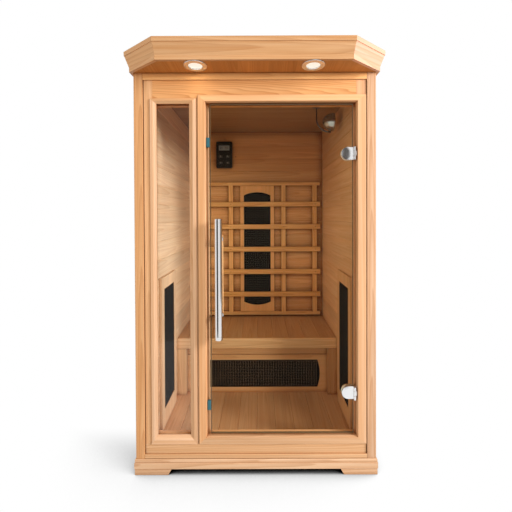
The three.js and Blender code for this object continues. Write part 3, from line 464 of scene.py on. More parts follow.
def railMask(bottom, top):        # 1 on the rails at the two ends of an upright frame
    def mask(tree, spot):
        height = addNode(tree, "ShaderNodeSeparateXYZ", {0: spot}).outputs[2]
        below = calc(tree, "LESS_THAN", height, bottom)
        return calc(tree, "MAXIMUM", below, calc(tree, "GREATER_THAN", height, top))
    return mask


# the tint is partly the wood's tone and partly painted light, as for the boards above
backrest = {"railHeight": 0.024, "seed": 39, "tint": (1.08, 1.10, 0.91)}
low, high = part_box("backrest_frame")
dress("backrest_frame", woodFinish(
    "backrestFrameWood",
    grainInputs("backrest_frame", zAxis, xAxis, boards=30, tint=backrest["tint"], seed=backrest["seed"]),
    (grainInputs("backrest_frame", xAxis, zAxis, boards=40, tint=backrest["tint"], seed=backrest["seed"] + 1),
     railMask(low.z + backrest["railHeight"], high.z - backrest["railHeight"])),
))
print("wood done")

# glass: light and shadow rays pass straight through, tinted
glassLooks = {
    "door_glass": {"tint": (0.94, 0.89, 0.74, 1), "passing": (0.95, 0.94, 0.92, 1), "ior": 1.12},
    "window_glass": {"tint": (1.0, 1.0, 1.0, 1), "passing": (0.97, 0.97, 0.96, 1), "ior": 1.28},
}


def glassFinish(name, look):
    material, tree, shader = newMaterial(name, Roughness=0.0, IOR=look["ior"])
    shader.inputs["Base Color"].default_value = look["tint"]
    shader.inputs["Transmission Weight"].default_value = 1.0
    clear = addNode(tree, "ShaderNodeBsdfTransparent", {"Color": look["passing"]})
    path = addNode(tree, "ShaderNodeLightPath").outputs
    passing = calc(tree, "MAXIMUM", path["Is Shadow Ray"], path["Is Diffuse Ray"])
    mixed = addNode(tree, "ShaderNodeMixShader", {0: passing, 1: shader.outputs[0], 2: clear.outputs[0]})
    tree.links.new(mixed.outputs[0], tree.nodes["Material Output"].inputs["Surface"])
    return material


for node, look in glassLooks.items():
    dress(node, glassFinish(node + "Sheet", look))


# simple finishes with a fine grain of their own
def speckledFinish(name, colour, roughness, scale, amount, **constants):
    material, tree, shader = newMaterial(name, **constants)
    grit = noise(tree, objectSpot(tree), scale, 3.0)
    level = calc(tree, "MULTIPLY_ADD", grit, amount, 1 - amount / 2)
    grey = addNode(tree, "ShaderNodeCombineColor", {0: level, 1: level, 2: level}).outputs[0]
    tree.links.new(mixColours(tree, 1.0, colour, grey, "MULTIPLY"), shader.inputs["Base Color"])
    tree.links.new(calc(tree, "MULTIPLY_ADD", grit, 0.2, roughness - 0.1), shader.inputs["Roughness"])
    addBump(tree, shader, grit, 0.0002, 0.2)
    return material


finishes = {
    "chrome": speckledFinish("polishedChrome", (0.70, 0.71, 0.73, 1), 0.20, 300, 0.06, Metallic=0.9),
    "steel": speckledFinish("satinSteel", (0.78, 0.77, 0.76, 1), 0.12, 420, 0.08, Metallic=1.0),
    "brushed": speckledFinish("brushedSteel", (0.86, 0.86, 0.86, 1), 0.22, 900, 0.12, Metallic=1.0),
    "lamp": speckledFinish("darkSteel", (0.46, 0.50, 0.58, 1), 0.24, 300, 0.1, Metallic=1.0),
    "arm": speckledFinish("blackenedSteel", (0.15, 0.15, 0.16, 1), 0.35, 300, 0.1, Metallic=1.0),
    "nail": speckledFinish("blackenedNail", paint(62, 44, 30), 0.45, 900, 0.2, Metallic=0.6),
    "rubber": speckledFinish("tealRubber", paint(52, 106, 114), 0.5, 800, 0.15),
    "heater": speckledFinish("heaterBlack", paint(9, 9, 9), 0.7, 700, 0.3, **{"Specular IOR Level": 0.1}),
    "wire": speckledFinish("heaterWire", paint(88, 84, 78), 0.5, 700, 0.2),
    # the same wire in three shades: darker on the side heaters as painted shade, lighter and patchy on the bench heater
    # as painted light
    "darkWire": speckledFinish("heaterWireDark", paint(38, 36, 33), 0.5, 700, 0.2),
    "warmWire": speckledFinish("heaterWireWarm", paint(124, 102, 80), 0.5, 24, 1.6),
    "control": speckledFinish("panelBlack", paint(40, 41, 42), 0.4, 900, 0.15, **{"Specular IOR Level": 0.2}),
    "key": speckledFinish("keyBlack", paint(62, 63, 64), 0.5, 900, 0.2),
    "mark": speckledFinish("markGrey", paint(232, 230, 226), 0.5, 900, 0.05),
    "display": speckledFinish("displayGlass", paint(160, 178, 192), 0.25, 900, 0.06),
    "digit": speckledFinish("displayDigit", paint(26, 26, 24), 0.4, 900, 0.05),
    "box": speckledFinish("paintedSteel", paint(150, 153, 146), 0.5, 500, 0.1),
    "lens": speckledFinish("frostedLens", paint(150, 146, 138), 0.4, 300, 0.05,
                           **{"Emission Color": (1.0, 0.93, 0.80, 1), "Emission Strength": 0.80}),
    # the ground edge is painted brown, the wood-coloured light and shade it shows
    "edge": speckledFinish("groundGlassEdge", paint(104, 84, 56), 0.3, 600, 0.1),
    "bulb": speckledFinish("bulbGlass", paint(236, 226, 206), 0.3, 300, 0.05),
}
# hinge plates: their faces lean and curve a little across, as rolled plate does
plateFace = {"lean": -0.24, "curve": 0.28}


def crownFace(material, low, high, look):
    tree = material.node_tree
    across = addNode(tree, "ShaderNodeSeparateXYZ", {0: objectSpot(tree)}).outputs[0]
    share = calc(tree, "DIVIDE", calc(tree, "SUBTRACT", across, (low + high) / 2), (high - low) / 2)
    slope = combine(tree, calc(tree, "MULTIPLY_ADD", share, look["curve"], look["lean"]), 0.0, 0.0)
    turned = addNode(tree, "ShaderNodeVectorTransform", {0: slope}, vector_type="VECTOR",
                     convert_from="OBJECT", convert_to="WORLD").outputs[0]
    normal = addNode(tree, "ShaderNodeNewGeometry").outputs["Normal"]
    leaning = vectorCalc(tree, "NORMALIZE", vectorCalc(tree, "ADD", normal, turned))
    bump = next(node for node in tree.nodes if node.bl_idname == "ShaderNodeBump")
    tree.links.new(leaning, bump.inputs["Normal"])


plateLow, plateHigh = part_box("hinge_upper_clamp")
crownFace(finishes["brushed"], plateLow.x, plateHigh.x, plateFace)
for node in nodes:
    if slotOf[node] in finishes:
        dress(node, finishes[slotOf[node]])
    elif slotOf[node] in ("control_black", "key_black", "power_box"):
        dress(node, finishes[{"control_black": "control", "key_black": "key", "power_box": "box"}[slotOf[node]]])
print("other finishes done")


# helpers for meshes
def meshFrom(work, name, sharpAngle=32):
    bmesh.ops.recalc_face_normals(work, faces=work.faces)
    mesh = bpy.data.meshes.new(name)
    work.to_mesh(mesh)
    work.free()
    mesh.polygons.foreach_set("use_smooth", [True] * len(mesh.polygons))
    mesh.set_sharp_from_angle(angle=math.radians(sharpAngle))
    return mesh


def addPiece(mesh, body, material=None, replaced=()):
    piece = bpy.data.objects.new(mesh.name, mesh)
    scene.collection.objects.link(piece)
    if material is not None:
        mesh.materials.clear()
        mesh.materials.append(material)
    if replaced:
        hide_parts(*replaced)
    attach(piece, body)
    return piece


def lathe(work, profile, place, axis, steps=40, closed=False):        # profile: radius, distance along the axis
    along = Vector(axis).normalized()
    side = along.orthogonal().normalized()
    other = along.cross(side)
    turns = [2 * math.pi * step / steps for step in range(steps)]
    rings = []
    for radius, distance in profile:
        middle = Vector(place) + along * distance
        if radius < 1e-6:
            rings.append([work.verts.new(middle)])
        else:
            rings.append([work.verts.new(middle + (side * math.cos(t) + other * math.sin(t)) * radius) for t in turns])
    pairs = list(zip(rings, rings[1:])) + ([(rings[-1], rings[0])] if closed else [])
    for first, second in pairs:
        for i in range(steps):
            j = (i + 1) % steps
            corners = [first[i % len(first)], first[j % len(first)], second[j % len(second)], second[i % len(second)]]
            work.faces.new(list(dict.fromkeys(corners)))


def tube(work, points, radius, sides=20):        # round rod along a line of points, closed at both ends
    rings = []
    across = None
    for i, point in enumerate(points):
        ahead = (points[min(i + 1, len(points) - 1)] - points[max(i - 1, 0)]).normalized()
        across = ahead.orthogonal() if across is None else across - ahead * across.dot(ahead)
        across.normalize()
        other = ahead.cross(across)
        turns = [2 * math.pi * step / sides for step in range(sides)]
        rings.append([work.verts.new(point + (across * math.cos(t) + other * math.sin(t)) * radius) for t in turns])
    for first, second in zip(rings, rings[1:]):
        for i in range(sides):
            j = (i + 1) % sides
            work.faces.new([first[i], first[j], second[j], second[i]])
    work.faces.new(rings[0][::-1])
    work.faces.new(rings[-1])


def block(work, low, high):
    low, high = Vector(low), Vector(high)
    made = bmesh.ops.create_cube(work, size=1)["verts"]
    for vert in made:
        vert.co = (low + high) / 2 + Vector(a * b for a, b in zip(vert.co, high - low))
    return made


def bevelSharp(work, width, segments=2, angle=30):
    edges = [edge for edge in work.edges if len(edge.link_faces) == 2 and edge.calc_face_angle() > math.radians(angle)]
    bmesh.ops.bevel(work, geom=edges, offset=width, offset_type="OFFSET", segments=segments, profile=0.5,
                    affect="EDGES", clamp_overlap=True)


def softCopy(node, name, width, segments=2):        # a CAD solid with its hard edges rounded over
    work = bmesh.new()
    work.from_mesh(nodes[node].data)
    bmesh.ops.remove_doubles(work, verts=work.verts, dist=1e-5)
    bmesh.ops.dissolve_limit(work, angle_limit=math.radians(1), verts=work.verts, edges=work.edges)
    bevelSharp(work, width, segments)
    return meshFrom(work, name)


# helpers for Geometry Nodes
def growMesh(name, tree, values, seed=None):
    holder = bpy.data.objects.new(name + "Holder", seed or bpy.data.meshes.new(name + "Seed"))
    scene.collection.objects.link(holder)
    modifier = holder.modifiers.new("grow", "NODES")
    modifier.node_group = tree
    for item in tree.interface.items_tree:
        if item.item_type == "SOCKET" and item.in_out == "INPUT" and item.name in values:
            modifier[item.identifier] = values[item.name]
    mesh = bpy.data.meshes.new_from_object(holder.evaluated_get(bpy.context.evaluated_depsgraph_get()))
    mesh.name = name
    bpy.data.objects.remove(holder)
    return mesh


def makeHeadTree():        # one head on each point, turned to the point's own facing
    tree, given, result = makeGroup("fastenerHeads", [
        ("Points", "Geometry", None), ("Head", "Object", None), ("Finish", "Material", None),
    ], [("Heads", "Geometry")], "GeometryNodeTree")
    facing = addNode(tree, "GeometryNodeInputNamedAttribute", {"Name": "facing"}, data_type="FLOAT_VECTOR").outputs[0]
    turn = addNode(tree, "FunctionNodeAlignRotationToVector", {"Vector": facing}, axis="Z").outputs[0]
    head = addNode(tree, "GeometryNodeObjectInfo", {"Object": given["Head"]}).outputs["Geometry"]
    placed = addNode(tree, "GeometryNodeInstanceOnPoints",
                     {"Points": given["Points"], "Instance": head, "Rotation": turn}).outputs[0]
    solid = addNode(tree, "GeometryNodeRealizeInstances", {0: placed}).outputs[0]
    painted = addNode(tree, "GeometryNodeSetMaterial", {"Geometry": solid, "Material": given["Finish"]}).outputs[0]
    tree.links.new(painted, result["Heads"])
    return tree


def headTemplate(look):        # domed head with a socket in its middle
    work = bmesh.new()
    radius, rise, socket = look["radius"], look["rise"], look["socket"]
    profile = [(radius, 0), (radius, 0.45 * rise), (0.75 * radius, rise)]
    profile += [(socket, rise), (0.9 * socket, 0.2 * rise), (0, 0.2 * rise)] if socket else [(0, 1.1 * rise)]
    lathe(work, profile, (0, 0, 0), zAxis, look["sides"])
    template = bpy.data.objects.new("headTemplate", meshFrom(work, "headTemplate"))
    scene.collection.objects.link(template)
    return template


headTree = makeHeadTree()


def addHeads(name, spots, look, body, material):        # spots: place and facing
    seed = bpy.data.meshes.new(name + "Spots")
    seed.from_pydata([place for place, facing in spots], [], [])
    facings = seed.attributes.new("facing", "FLOAT_VECTOR", "POINT")
    for row, (place, facing) in zip(facings.data, spots):
        row.vector = facing
    template = headTemplate(look)
    mesh = growMesh(name, headTree, {"Head": template, "Finish": material}, seed)
    bpy.data.objects.remove(template)
    return addPiece(mesh, body, None)


# door handle: a tube with end caps on two standoffs, and the wooden pull behind the glass
handle = {
    "x": -0.161, "middle": 0.893, "standoffs": 0.347, "rosetteRadius": 0.014, "rosette": 0.004,
    "outer": {"axisY": -0.496, "glassY": -0.4343, "radius": 0.017, "length": 0.531, "post": 0.008, "cap": 0.016},
    "inner": {"axisY": -0.388, "glassY": -0.4257, "radius": 0.009, "length": 0.375, "post": 0.008, "cap": 0},
}


def gripMesh(name, grip):
    work = bmesh.new()
    radius, half, cap = grip["radius"], grip["length"] / 2, grip["cap"]
    groove = 0.0007
    end = [(0, half), (radius * 0.80, half), (radius * 0.93, half - radius * 0.04), (radius, half - radius * 0.16)]
    if cap:
        end += [(radius, half - cap), (radius - groove, half - cap - groove), (radius, half - cap - 2 * groove)]
    lathe(work, end + [(r, -a) for r, a in reversed(end)], (handle["x"], grip["axisY"], handle["middle"]), zAxis, 48)
    reach = grip["glassY"] - grip["axisY"]
    away = Vector((0, math.copysign(1, reach), 0))
    length, foot = abs(reach), handle["rosette"]
    flange = handle["rosetteRadius"]
    post = grip["post"]
    profile = [(0, radius * 0.6), (post, radius * 0.6), (post, length - foot - 0.003), (post + 0.001, length - foot - 0.001),
               (flange - 0.001, length - foot), (flange, length - foot + 0.001), (flange, length), (0, length)]
    for end in (-1, 1):
        place = (handle["x"], grip["axisY"], handle["middle"] + end * handle["standoffs"] / 2)
        lathe(work, profile, place, away, 32)
    return meshFrom(work, name)


addPiece(gripMesh("handle_bar", handle["outer"]), "door", finishes["steel"], ["door_handle"])
pullWood = woodFinish("doorPullWood", grainInputs("door_pull", zAxis, xAxis, tint=(0.84, 0.95, 1.12), seed=30))
addPiece(gripMesh("inner_pull", handle["inner"]), "door", pullWood, ["door_pull"])

# ground edge all round the door sheet, with a fine bevel on each face
sheetEdge = {"width": 0.0034, "bevel": 0.0010, "proud": 0.00008}


def edgeMesh(name, look):
    low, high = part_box("door_glass")
    width, bevel, proud = look["width"], look["bevel"], look["proud"]
    section = [(0, high.y - bevel), (bevel, high.y + proud), (width, high.y + proud),
               (width, low.y - proud), (bevel, low.y - proud), (0, low.y + bevel)]
    corners = [(low.x, low.z, 1, 1), (high.x, low.z, -1, 1), (high.x, high.z, -1, -1), (low.x, high.z, 1, -1)]
    spots = [(x + inset * right, y, z + inset * up) for x, z, right, up in corners for inset, y in section]
    count = len(section)
    faces = []
    for corner in range(4):
        here, there = corner * count, (corner + 1) % 4 * count
        faces += [(here + step, there + step, there + (step + 1) % count, here + (step + 1) % count)
                  for step in range(count)]
    mesh = bpy.data.meshes.new(name)
    mesh.from_pydata(spots, [], faces)
    return mesh


addPiece(edgeMesh("door_sheet_edge", sheetEdge), "door", finishes["edge"])

# hinges: rounded plates and leaves, with socket screws through the plates
hingeLook = {"round": 0.0012, "screw": {"radius": 0.0052, "rise": 0.0012, "socket": 0.0026, "sides": 18},
             "screwInset": 0.022, "leafScrew": {"radius": 0.0032, "rise": 0.0008, "socket": 0.0016, "sides": 14}}
for place in ("upper", "lower"):
    addPiece(softCopy(f"hinge_{place}_clamp", f"hinge_{place}_plates", hingeLook["round"]), "door",
             finishes["brushed"], [f"hinge_{place}_clamp"])
    addPiece(softCopy(f"hinge_{place}_leaf", f"hinge_{place}_jamb_leaf", hingeLook["round"] * 0.6), "cabin",
             finishes["brushed"], [f"hinge_{place}_leaf"])
    low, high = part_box(f"hinge_{place}_clamp")
    middle = (low.z + high.z) / 2
    inner = [((low.x + hingeLook["screwInset"], high.y, middle + shift), (0, 1, 0)) for shift in (-0.013, 0.013)]
    addHeads(f"hinge_{place}_screws", inner, hingeLook["screw"], "door", finishes["steel"])

# latch pads, the control housing and its keys
for place in ("upper", "lower"):
    addPiece(softCopy(f"catch_pad_{place}", f"latch_pad_{place}", 0.0018, 3), "cabin", finishes["rubber"],
             [f"catch_pad_{place}"])
addPiece(softCopy("control_housing", "control_case", 0.0012), "cabin", finishes["control"],
         ["control_housing"])

control = {
    "glassGap": 0.0006, "glassThickness": 0.0009, "digitHeight": 0.017, "digitWidth": 0.0086, "digitPitch": 0.0132,
    "bar": 0.0019, "markRise": 0.00025, "time": "30", "warmth": "55",
}
digitBars = {        # which of the seven bars are lit: top, upper left, upper right, middle, lower left, lower right, foot
    "0": (1, 1, 1, 0, 1, 1, 1), "3": (1, 0, 1, 1, 0, 1, 1), "5": (1, 1, 0, 1, 0, 1, 1),
}


def flatMark(work, corners, faceY, rise):        # a thin raised mark with corners in x, z
    front = [work.verts.new((x, faceY - rise, z)) for x, z in corners]
    back = [work.verts.new((x, faceY, z)) for x, z in corners]
    work.faces.new(front)
    work.faces.new(back[::-1])
    for i in range(len(corners)):
        j = (i + 1) % len(corners)
        work.faces.new([front[i], back[i], back[j], front[j]])


def barMark(work, x, z, length, width, upright, faceY, rise):        # one bar with pointed ends
    half, side = length / 2, width / 2
    shape = [(-half, 0), (-half + side, side), (half - side, side), (half, 0), (half - side, -side), (-half + side, -side)]
    flatMark(work, [(x + b, z + a) if upright else (x + a, z + b) for a, b in shape], faceY, rise)


def addDisplay():
    low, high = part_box("control_housing")
    middle, top = (low.x + high.x) / 2, high.z - 0.029
    width, height, recess = 0.082, 0.038, 0.002
    faceY = low.y + recess - control["glassGap"]
    work = bmesh.new()
    edge = 0.0006
    block(work, (middle - width / 2 + edge, faceY - control["glassThickness"], top - height + edge),
          (middle + width / 2 - edge, faceY, top - edge))
    bevelSharp(work, 0.0003)
    addPiece(meshFrom(work, "control_display"), "cabin", finishes["display"])
    work = bmesh.new()
    front = faceY - control["glassThickness"] - 0.0001
    digits = [(text, middle - 0.030 + i * control["digitPitch"]) for i, text in enumerate(control["time"])]
    digits += [(text, middle + 0.011 + i * control["digitPitch"]) for i, text in enumerate(control["warmth"])]
    wide, tall, bar = control["digitWidth"], control["digitHeight"] / 2, control["bar"]
    centre = top - height / 2
    for text, x in digits:
        bars = [(0, tall, 0), (-wide / 2, tall / 2, 1), (wide / 2, tall / 2, 1), (0, 0, 0),
                (-wide / 2, -tall / 2, 1), (wide / 2, -tall / 2, 1), (0, -tall, 0)]
        for lit, (dx, dz, upright) in zip(digitBars[text], bars):
            if lit:
                length = (tall if upright else wide) - 0.0004
                barMark(work, x + dx, centre + dz, length, bar, upright, front, control["markRise"])
    addPiece(meshFrom(work, "display_digits"), "cabin", finishes["digit"])


addDisplay()


def ringMark(work, x, z, radius, width, faceY, rise, gap=0.0):        # a ring, open at the top by a gap
    steps = 28
    start, sweep = math.pi / 2 + gap, 2 * math.pi - 2 * gap
    for step in range(steps):
        turns = [start + sweep * (step + end) / steps for end in (0, 1)]
        corners = [(x + r * math.cos(t), z + r * math.sin(t)) for t, r in
                   ((turns[0], radius - width), (turns[0], radius), (turns[1], radius), (turns[1], radius - width))]
        flatMark(work, corners, faceY, rise)


for number in range(1, 5):        # switch, light, less and more
    node = f"control_key_{number}"
    addPiece(softCopy(node, f"control_button_{number}", 0.0009), f"key_{number}", finishes["key"], [node])
    low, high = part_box(node)
    x, z, faceY, rise = (low.x + high.x) / 2, (low.z + high.z) / 2, low.y, control["markRise"]
    work = bmesh.new()
    if number == 1:
        ringMark(work, x, z, 0.0052, 0.0011, faceY, rise, 0.6)
        barMark(work, x, z + 0.0035, 0.0062, 0.0011, True, faceY, rise)
    elif number == 2:
        ringMark(work, x, z, 0.0030, 0.0011, faceY, rise)
        for step in range(8):
            turn = step * math.pi / 4
            beam = [Vector((math.cos(turn), math.sin(turn))) * reach for reach in (0.0042, 0.0060)]
            side = Vector((-math.sin(turn), math.cos(turn))) * 0.0005
            corners = [beam[0] - side, beam[1] - side, beam[1] + side, beam[0] + side]
            flatMark(work, [(x + c.x, z + c.y) for c in corners], faceY, rise)
    else:
        barMark(work, x, z, 0.0100, 0.0014, False, faceY, rise)
        if number == 4:
            for shift in (-0.0030, 0.0030):
                barMark(work, x, z + shift, 0.0042, 0.0014, True, faceY, rise)
    addPiece(meshFrom(work, f"button_mark_{number}"), f"key_{number}", finishes["mark"])
print("door and control fittings done")

# reading lamp: bent rod with a rose, and a spun dome with a rolled rim, a hub and a bulb
readingLamp = {
    "stemX": 0.357, "pivotX": 0.435, "y": -0.009, "rodRadius": 0.004, "bend": 0.078, "roseRadius": 0.026,
    "domeRadius": 0.053, "domeDepth": 0.066, "rimAhead": 0.022, "wall": 0.0016, "bead": 0.0017,
    "bulbRadius": 0.021, "turnSteps": 14,
}


def addLamp(look):
    low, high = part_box("lamp_yoke")
    ceiling, y = high.z, look["y"]
    domeLow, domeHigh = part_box("lamp_dome")
    rodBottom = low.z + look["rodRadius"]
    bendTop = rodBottom + look["bend"]
    quarter = [math.pi / 2 * i / look["turnSteps"] for i in range(look["turnSteps"] + 1)]
    line = [Vector((look["stemX"], y, ceiling - 0.002)), Vector((look["stemX"], y, (ceiling + bendTop) / 2))]
    line += [Vector((look["pivotX"] - look["bend"] * math.cos(t), y, bendTop - look["bend"] * math.sin(t))) for t in quarter]
    work = bmesh.new()
    tube(work, line, look["rodRadius"])
    rose = look["roseRadius"]
    lathe(work, [(0, 0), (rose, 0), (rose, 0.003), (rose * 0.93, 0.0052), (rose * 0.35, 0.008), (0.006, 0.011), (0, 0.011)],
          (look["stemX"], y, ceiling), -zAxis, 40)
    seatRadius = 0.0075
    seat = [(0, low.z), (seatRadius - 0.001, low.z), (seatRadius, low.z + 0.001)]
    seat += [(seatRadius, rodBottom + 0.003), (seatRadius - 0.001, rodBottom + 0.004), (0, rodBottom + 0.004)]
    lathe(work, seat, (look["pivotX"], y, 0), zAxis, 32)
    lathe(work, [(0, rodBottom), (0.0025, rodBottom), (0.0025, domeLow.z + 0.008), (0, domeLow.z + 0.008)],
          (look["pivotX"], y, 0), zAxis, 20)
    addPiece(meshFrom(work, "lamp_arm"), "cabin", finishes["arm"], ["lamp_yoke"])

    rim = look["pivotX"] + look["rimAhead"]
    middle = (rim, y, domeHigh.z - look["domeRadius"])
    radius, depth, wall, bead = look["domeRadius"], look["domeDepth"], look["wall"], look["bead"]
    outer = [(radius * math.sin(t), -depth * math.cos(t)) for t in quarter]
    roll = [(radius - bead + bead * math.cos(t), bead * math.sin(t) - bead) for t in (0.4, 1.0, 1.6, 2.2, 2.9)]
    inner = [((radius - wall) * math.sin(t), -(depth - wall) * math.cos(t)) for t in reversed(quarter)]
    work = bmesh.new()
    lathe(work, outer[:-1] + roll + inner[1:], middle, xAxis, 64)
    hub = [(0.0029, domeLow.z), (0.0065, domeLow.z), (0.0075, domeLow.z + 0.001), (0.0075, domeLow.z + 0.012),
           (0.0029, domeLow.z + 0.012)]
    lathe(work, hub, (look["pivotX"], y, 0), zAxis, 32, closed=True)
    addPiece(meshFrom(work, "lamp_shade_bowl"), "lamp_shade", finishes["lamp"], ["lamp_dome"])
    work = bmesh.new()
    back = -depth + wall + 0.001
    neck, bulb = 0.012, look["bulbRadius"]
    round_ = [(bulb * math.sin(t), -0.014 - bulb * math.cos(t) * 0.95) for t in (0.9, 1.2, 1.57, 2.0, 2.4, 2.8)]
    lathe(work, [(0, back), (neck * 0.8, back + 0.001), (neck, back + 0.012), *round_, (0, -0.014 + bulb * 0.95)],
          middle, xAxis, 40)
    addPiece(meshFrom(work, "lamp_bulb"), "lamp_shade", finishes["bulb"])


addLamp(readingLamp)

# downlights: rolled rings with a stepped reflector, and ribbed lenses
downlight = {"ringRadius": 0.050, "flange": 0.004, "lip": 0.030, "can": 0.034, "wall": 0.002, "lensRibs": 5}


def addDownlight(place):
    ringLow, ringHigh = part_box(f"downlight_{place}_ring")
    lensLow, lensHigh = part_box(f"downlight_{place}_lens")
    spot = ((ringLow.x + ringHigh.x) / 2, (ringLow.y + ringHigh.y) / 2, ringLow.z)
    out, flange, lip, can, wall = (downlight[key] for key in ("ringRadius", "flange", "lip", "can", "wall"))
    height = ringHigh.z - ringLow.z
    profile = [
        (lip, 0.0012), (lip + 0.0012, 0.0002), (lip + 0.006, 0.0), (lip + 0.009, 0.0010), (out - 0.006, 0.0010),
        (out - 0.003, 0.0002), (out - 0.001, 0.0008), (out, flange * 0.5), (out, flange - 0.0003), (can, flange - 0.0003),
        (can, height), (0, height), (0, height - wall), (can - wall, height - wall), (can - wall, flange + wall),
        (lip, flange + wall),
    ]
    work = bmesh.new()
    lathe(work, profile[:11] + [(0, height)], spot, zAxis, 64)
    inside = [(0, height - wall), (can - wall, height - wall), (can - wall, flange + wall), (lip, flange + wall), profile[0]]
    lathe(work, inside, spot, zAxis, 64)
    bmesh.ops.remove_doubles(work, verts=work.verts, dist=1e-6)
    addPiece(meshFrom(work, f"downlight_{place}_bezel"), "cabin", finishes["chrome"], [f"downlight_{place}_ring"])
    work = bmesh.new()
    radius, bottom = (lensHigh.x - lensLow.x) / 2, lensLow.z - ringLow.z
    ribs = downlight["lensRibs"]
    ribbed = [(0, bottom)]
    for rib in range(ribs):
        reach = (rib + 0.5) / ribs * radius * 0.96
        ribbed += [(reach, bottom + 0.0008), (reach + radius * 0.06, bottom)]
    top = lensHigh.z - ringLow.z
    lathe(work, ribbed + [(radius, bottom), (radius, top), (0, top)], spot, zAxis, 48)
    addPiece(meshFrom(work, f"downlight_{place}_glass"), "cabin", finishes["lens"], [f"downlight_{place}_lens"])


for place in ("left", "right"):
    addDownlight(place)
print("lamps done")


# wire mesh over each heater, cut to the outline of the panel
def makeWireTree():
    tree, given, result = makeGroup("heaterWires", [
        ("Width", "Float", 0.2), ("Height", "Float", 0.8), ("Columns", "Int", 10), ("Rows", "Int", 40),
        ("Bow Radius", "Float", 0.2), ("Wire", "Float", 0.0006), ("Finish", "Material", None),
    ], [("Wires", "Geometry")], "GeometryNodeTree")
    grid = addNode(tree, "GeometryNodeMeshGrid", {
        "Size X": given["Width"], "Size Y": given["Height"], "Vertices X": given["Columns"], "Vertices Y": given["Rows"],
    }).outputs["Mesh"]
    place = addNode(tree, "ShaderNodeSeparateXYZ", {0: addNode(tree, "GeometryNodeInputPosition").outputs[0]}).outputs
    middle = calc(tree, "SUBTRACT", calc(tree, "MULTIPLY", given["Height"], 0.5), given["Bow Radius"])
    beyond = calc(tree, "MAXIMUM", calc(tree, "SUBTRACT", calc(tree, "ABSOLUTE", place[1]), middle), 0.0)
    away = calc(tree, "SQRT", calc(tree, "ADD", calc(tree, "MULTIPLY", place[0], place[0]),
                                   calc(tree, "MULTIPLY", beyond, beyond)))
    outside = calc(tree, "GREATER_THAN", away, given["Bow Radius"])
    kept = addNode(tree, "GeometryNodeDeleteGeometry", {"Geometry": grid, "Selection": outside}, domain="POINT").outputs[0]
    lines = addNode(tree, "GeometryNodeMeshToCurve", {"Mesh": kept}).outputs[0]
    section = addNode(tree, "GeometryNodeCurvePrimitiveCircle", {"Resolution": 4, "Radius": given["Wire"]}).outputs[0]
    wires = addNode(tree, "GeometryNodeCurveToMesh", {"Curve": lines, "Profile Curve": section}).outputs[0]
    solid = addNode(tree, "GeometryNodeRealizeInstances", {0: wires}).outputs[0]
    painted = addNode(tree, "GeometryNodeSetMaterial", {"Geometry": solid, "Material": given["Finish"]}).outputs[0]
    tree.links.new(painted, result["Wires"])
    return tree


wireTree = makeWireTree()
# each heater's wire finish paints the light or shade it sits in
heaterMesh = {
    "wire": 0.0006, "standOff": 0.0011, "margin": 0.004,
    "back": {"pitch": (0.0135, 0.0135), "arch": 0.024, "across": xAxis, "along": zAxis, "finish": "wire"},
    "bench": {"pitch": (0.0100, 0.0160), "arch": 0.016, "across": -zAxis, "along": xAxis, "finish": "warmWire"},
    "left": {"pitch": (0.0135, 0.0135), "arch": 0.0, "across": yAxis, "along": zAxis, "finish": "darkWire"},
    "right": {"pitch": (0.0135, 0.0135), "arch": 0.0, "across": -yAxis, "along": zAxis, "finish": "darkWire"},
}
for place in ("back", "bench", "left", "right"):
    look = heaterMesh[place]
    low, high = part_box(f"heater_{place}_panel")
    across, along = look["across"], look["along"]
    outward = across.cross(along)
    width = abs((high - low).dot(across)) - 2 * heaterMesh["margin"]
    length = abs((high - low).dot(along)) - 2 * heaterMesh["margin"]
    bow = ((width / 2) ** 2 + look["arch"] ** 2) / (2 * look["arch"]) if look["arch"] else 60.0
    mesh = growMesh(f"heater_{place}_wires", wireTree, {
        "Width": width, "Height": length, "Bow Radius": bow + 0.0002, "Wire": heaterMesh["wire"],
        "Columns": round(width / look["pitch"][0]) + 1, "Rows": round(length / look["pitch"][1]) + 1,
        "Finish": finishes[look["finish"]],
    })
    reach = max(low.dot(outward), high.dot(outward)) + heaterMesh["standOff"]
    middle = (low + high) / 2
    middle += outward * (reach - middle.dot(outward))
    turn = Matrix((across, along, outward)).transposed().to_4x4()
    mesh.transform(Matrix.Translation(middle) @ turn)
    addPiece(mesh, "cabin")
print("heater wires done")

# small fasteners: brads in the backrest, nails in the wall and screws in the roof
brad = {"radius": 0.0022, "rise": 0.0003, "socket": 0, "sides": 10}
screw = {"radius": 0.0040, "rise": 0.0009, "socket": 0.0020, "sides": 16}
backrestColumns = (-0.440, -0.200, 0.200, 0.440)
spots = []
for number in range(1, 6):
    low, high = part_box(f"backrest_slat_{number}")
    spots += [((x, low.y, (low.z + high.z) / 2), (0, -1, 0)) for x in backrestColumns]
addHeads("backrest_brads", spots, brad, "cabin", finishes["nail"])
low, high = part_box("control_housing")
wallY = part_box("wall_back")[0].y
spots = [(((low.x + high.x) / 2 + 0.004, wallY, high.z + 0.024), (0, -1, 0)),
         ((high.x + 0.026, wallY, (low.z + high.z) / 2 - 0.012), (0, -1, 0))]
addHeads("wall_nails", spots, {**brad, "radius": 0.0034}, "cabin", finishes["nail"])
low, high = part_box("roof_panel")
roofEdge, roofSteps = 0.045, 6
spots = [((side * (high.x - roofEdge), low.y + 0.19 + i * (high.y - low.y - 0.24) / roofSteps, high.z), (0, 0, 1))
         for side in (-1, 1) for i in range(roofSteps + 1)]
addHeads("roof_screws", spots, screw, "cabin", finishes["steel"])
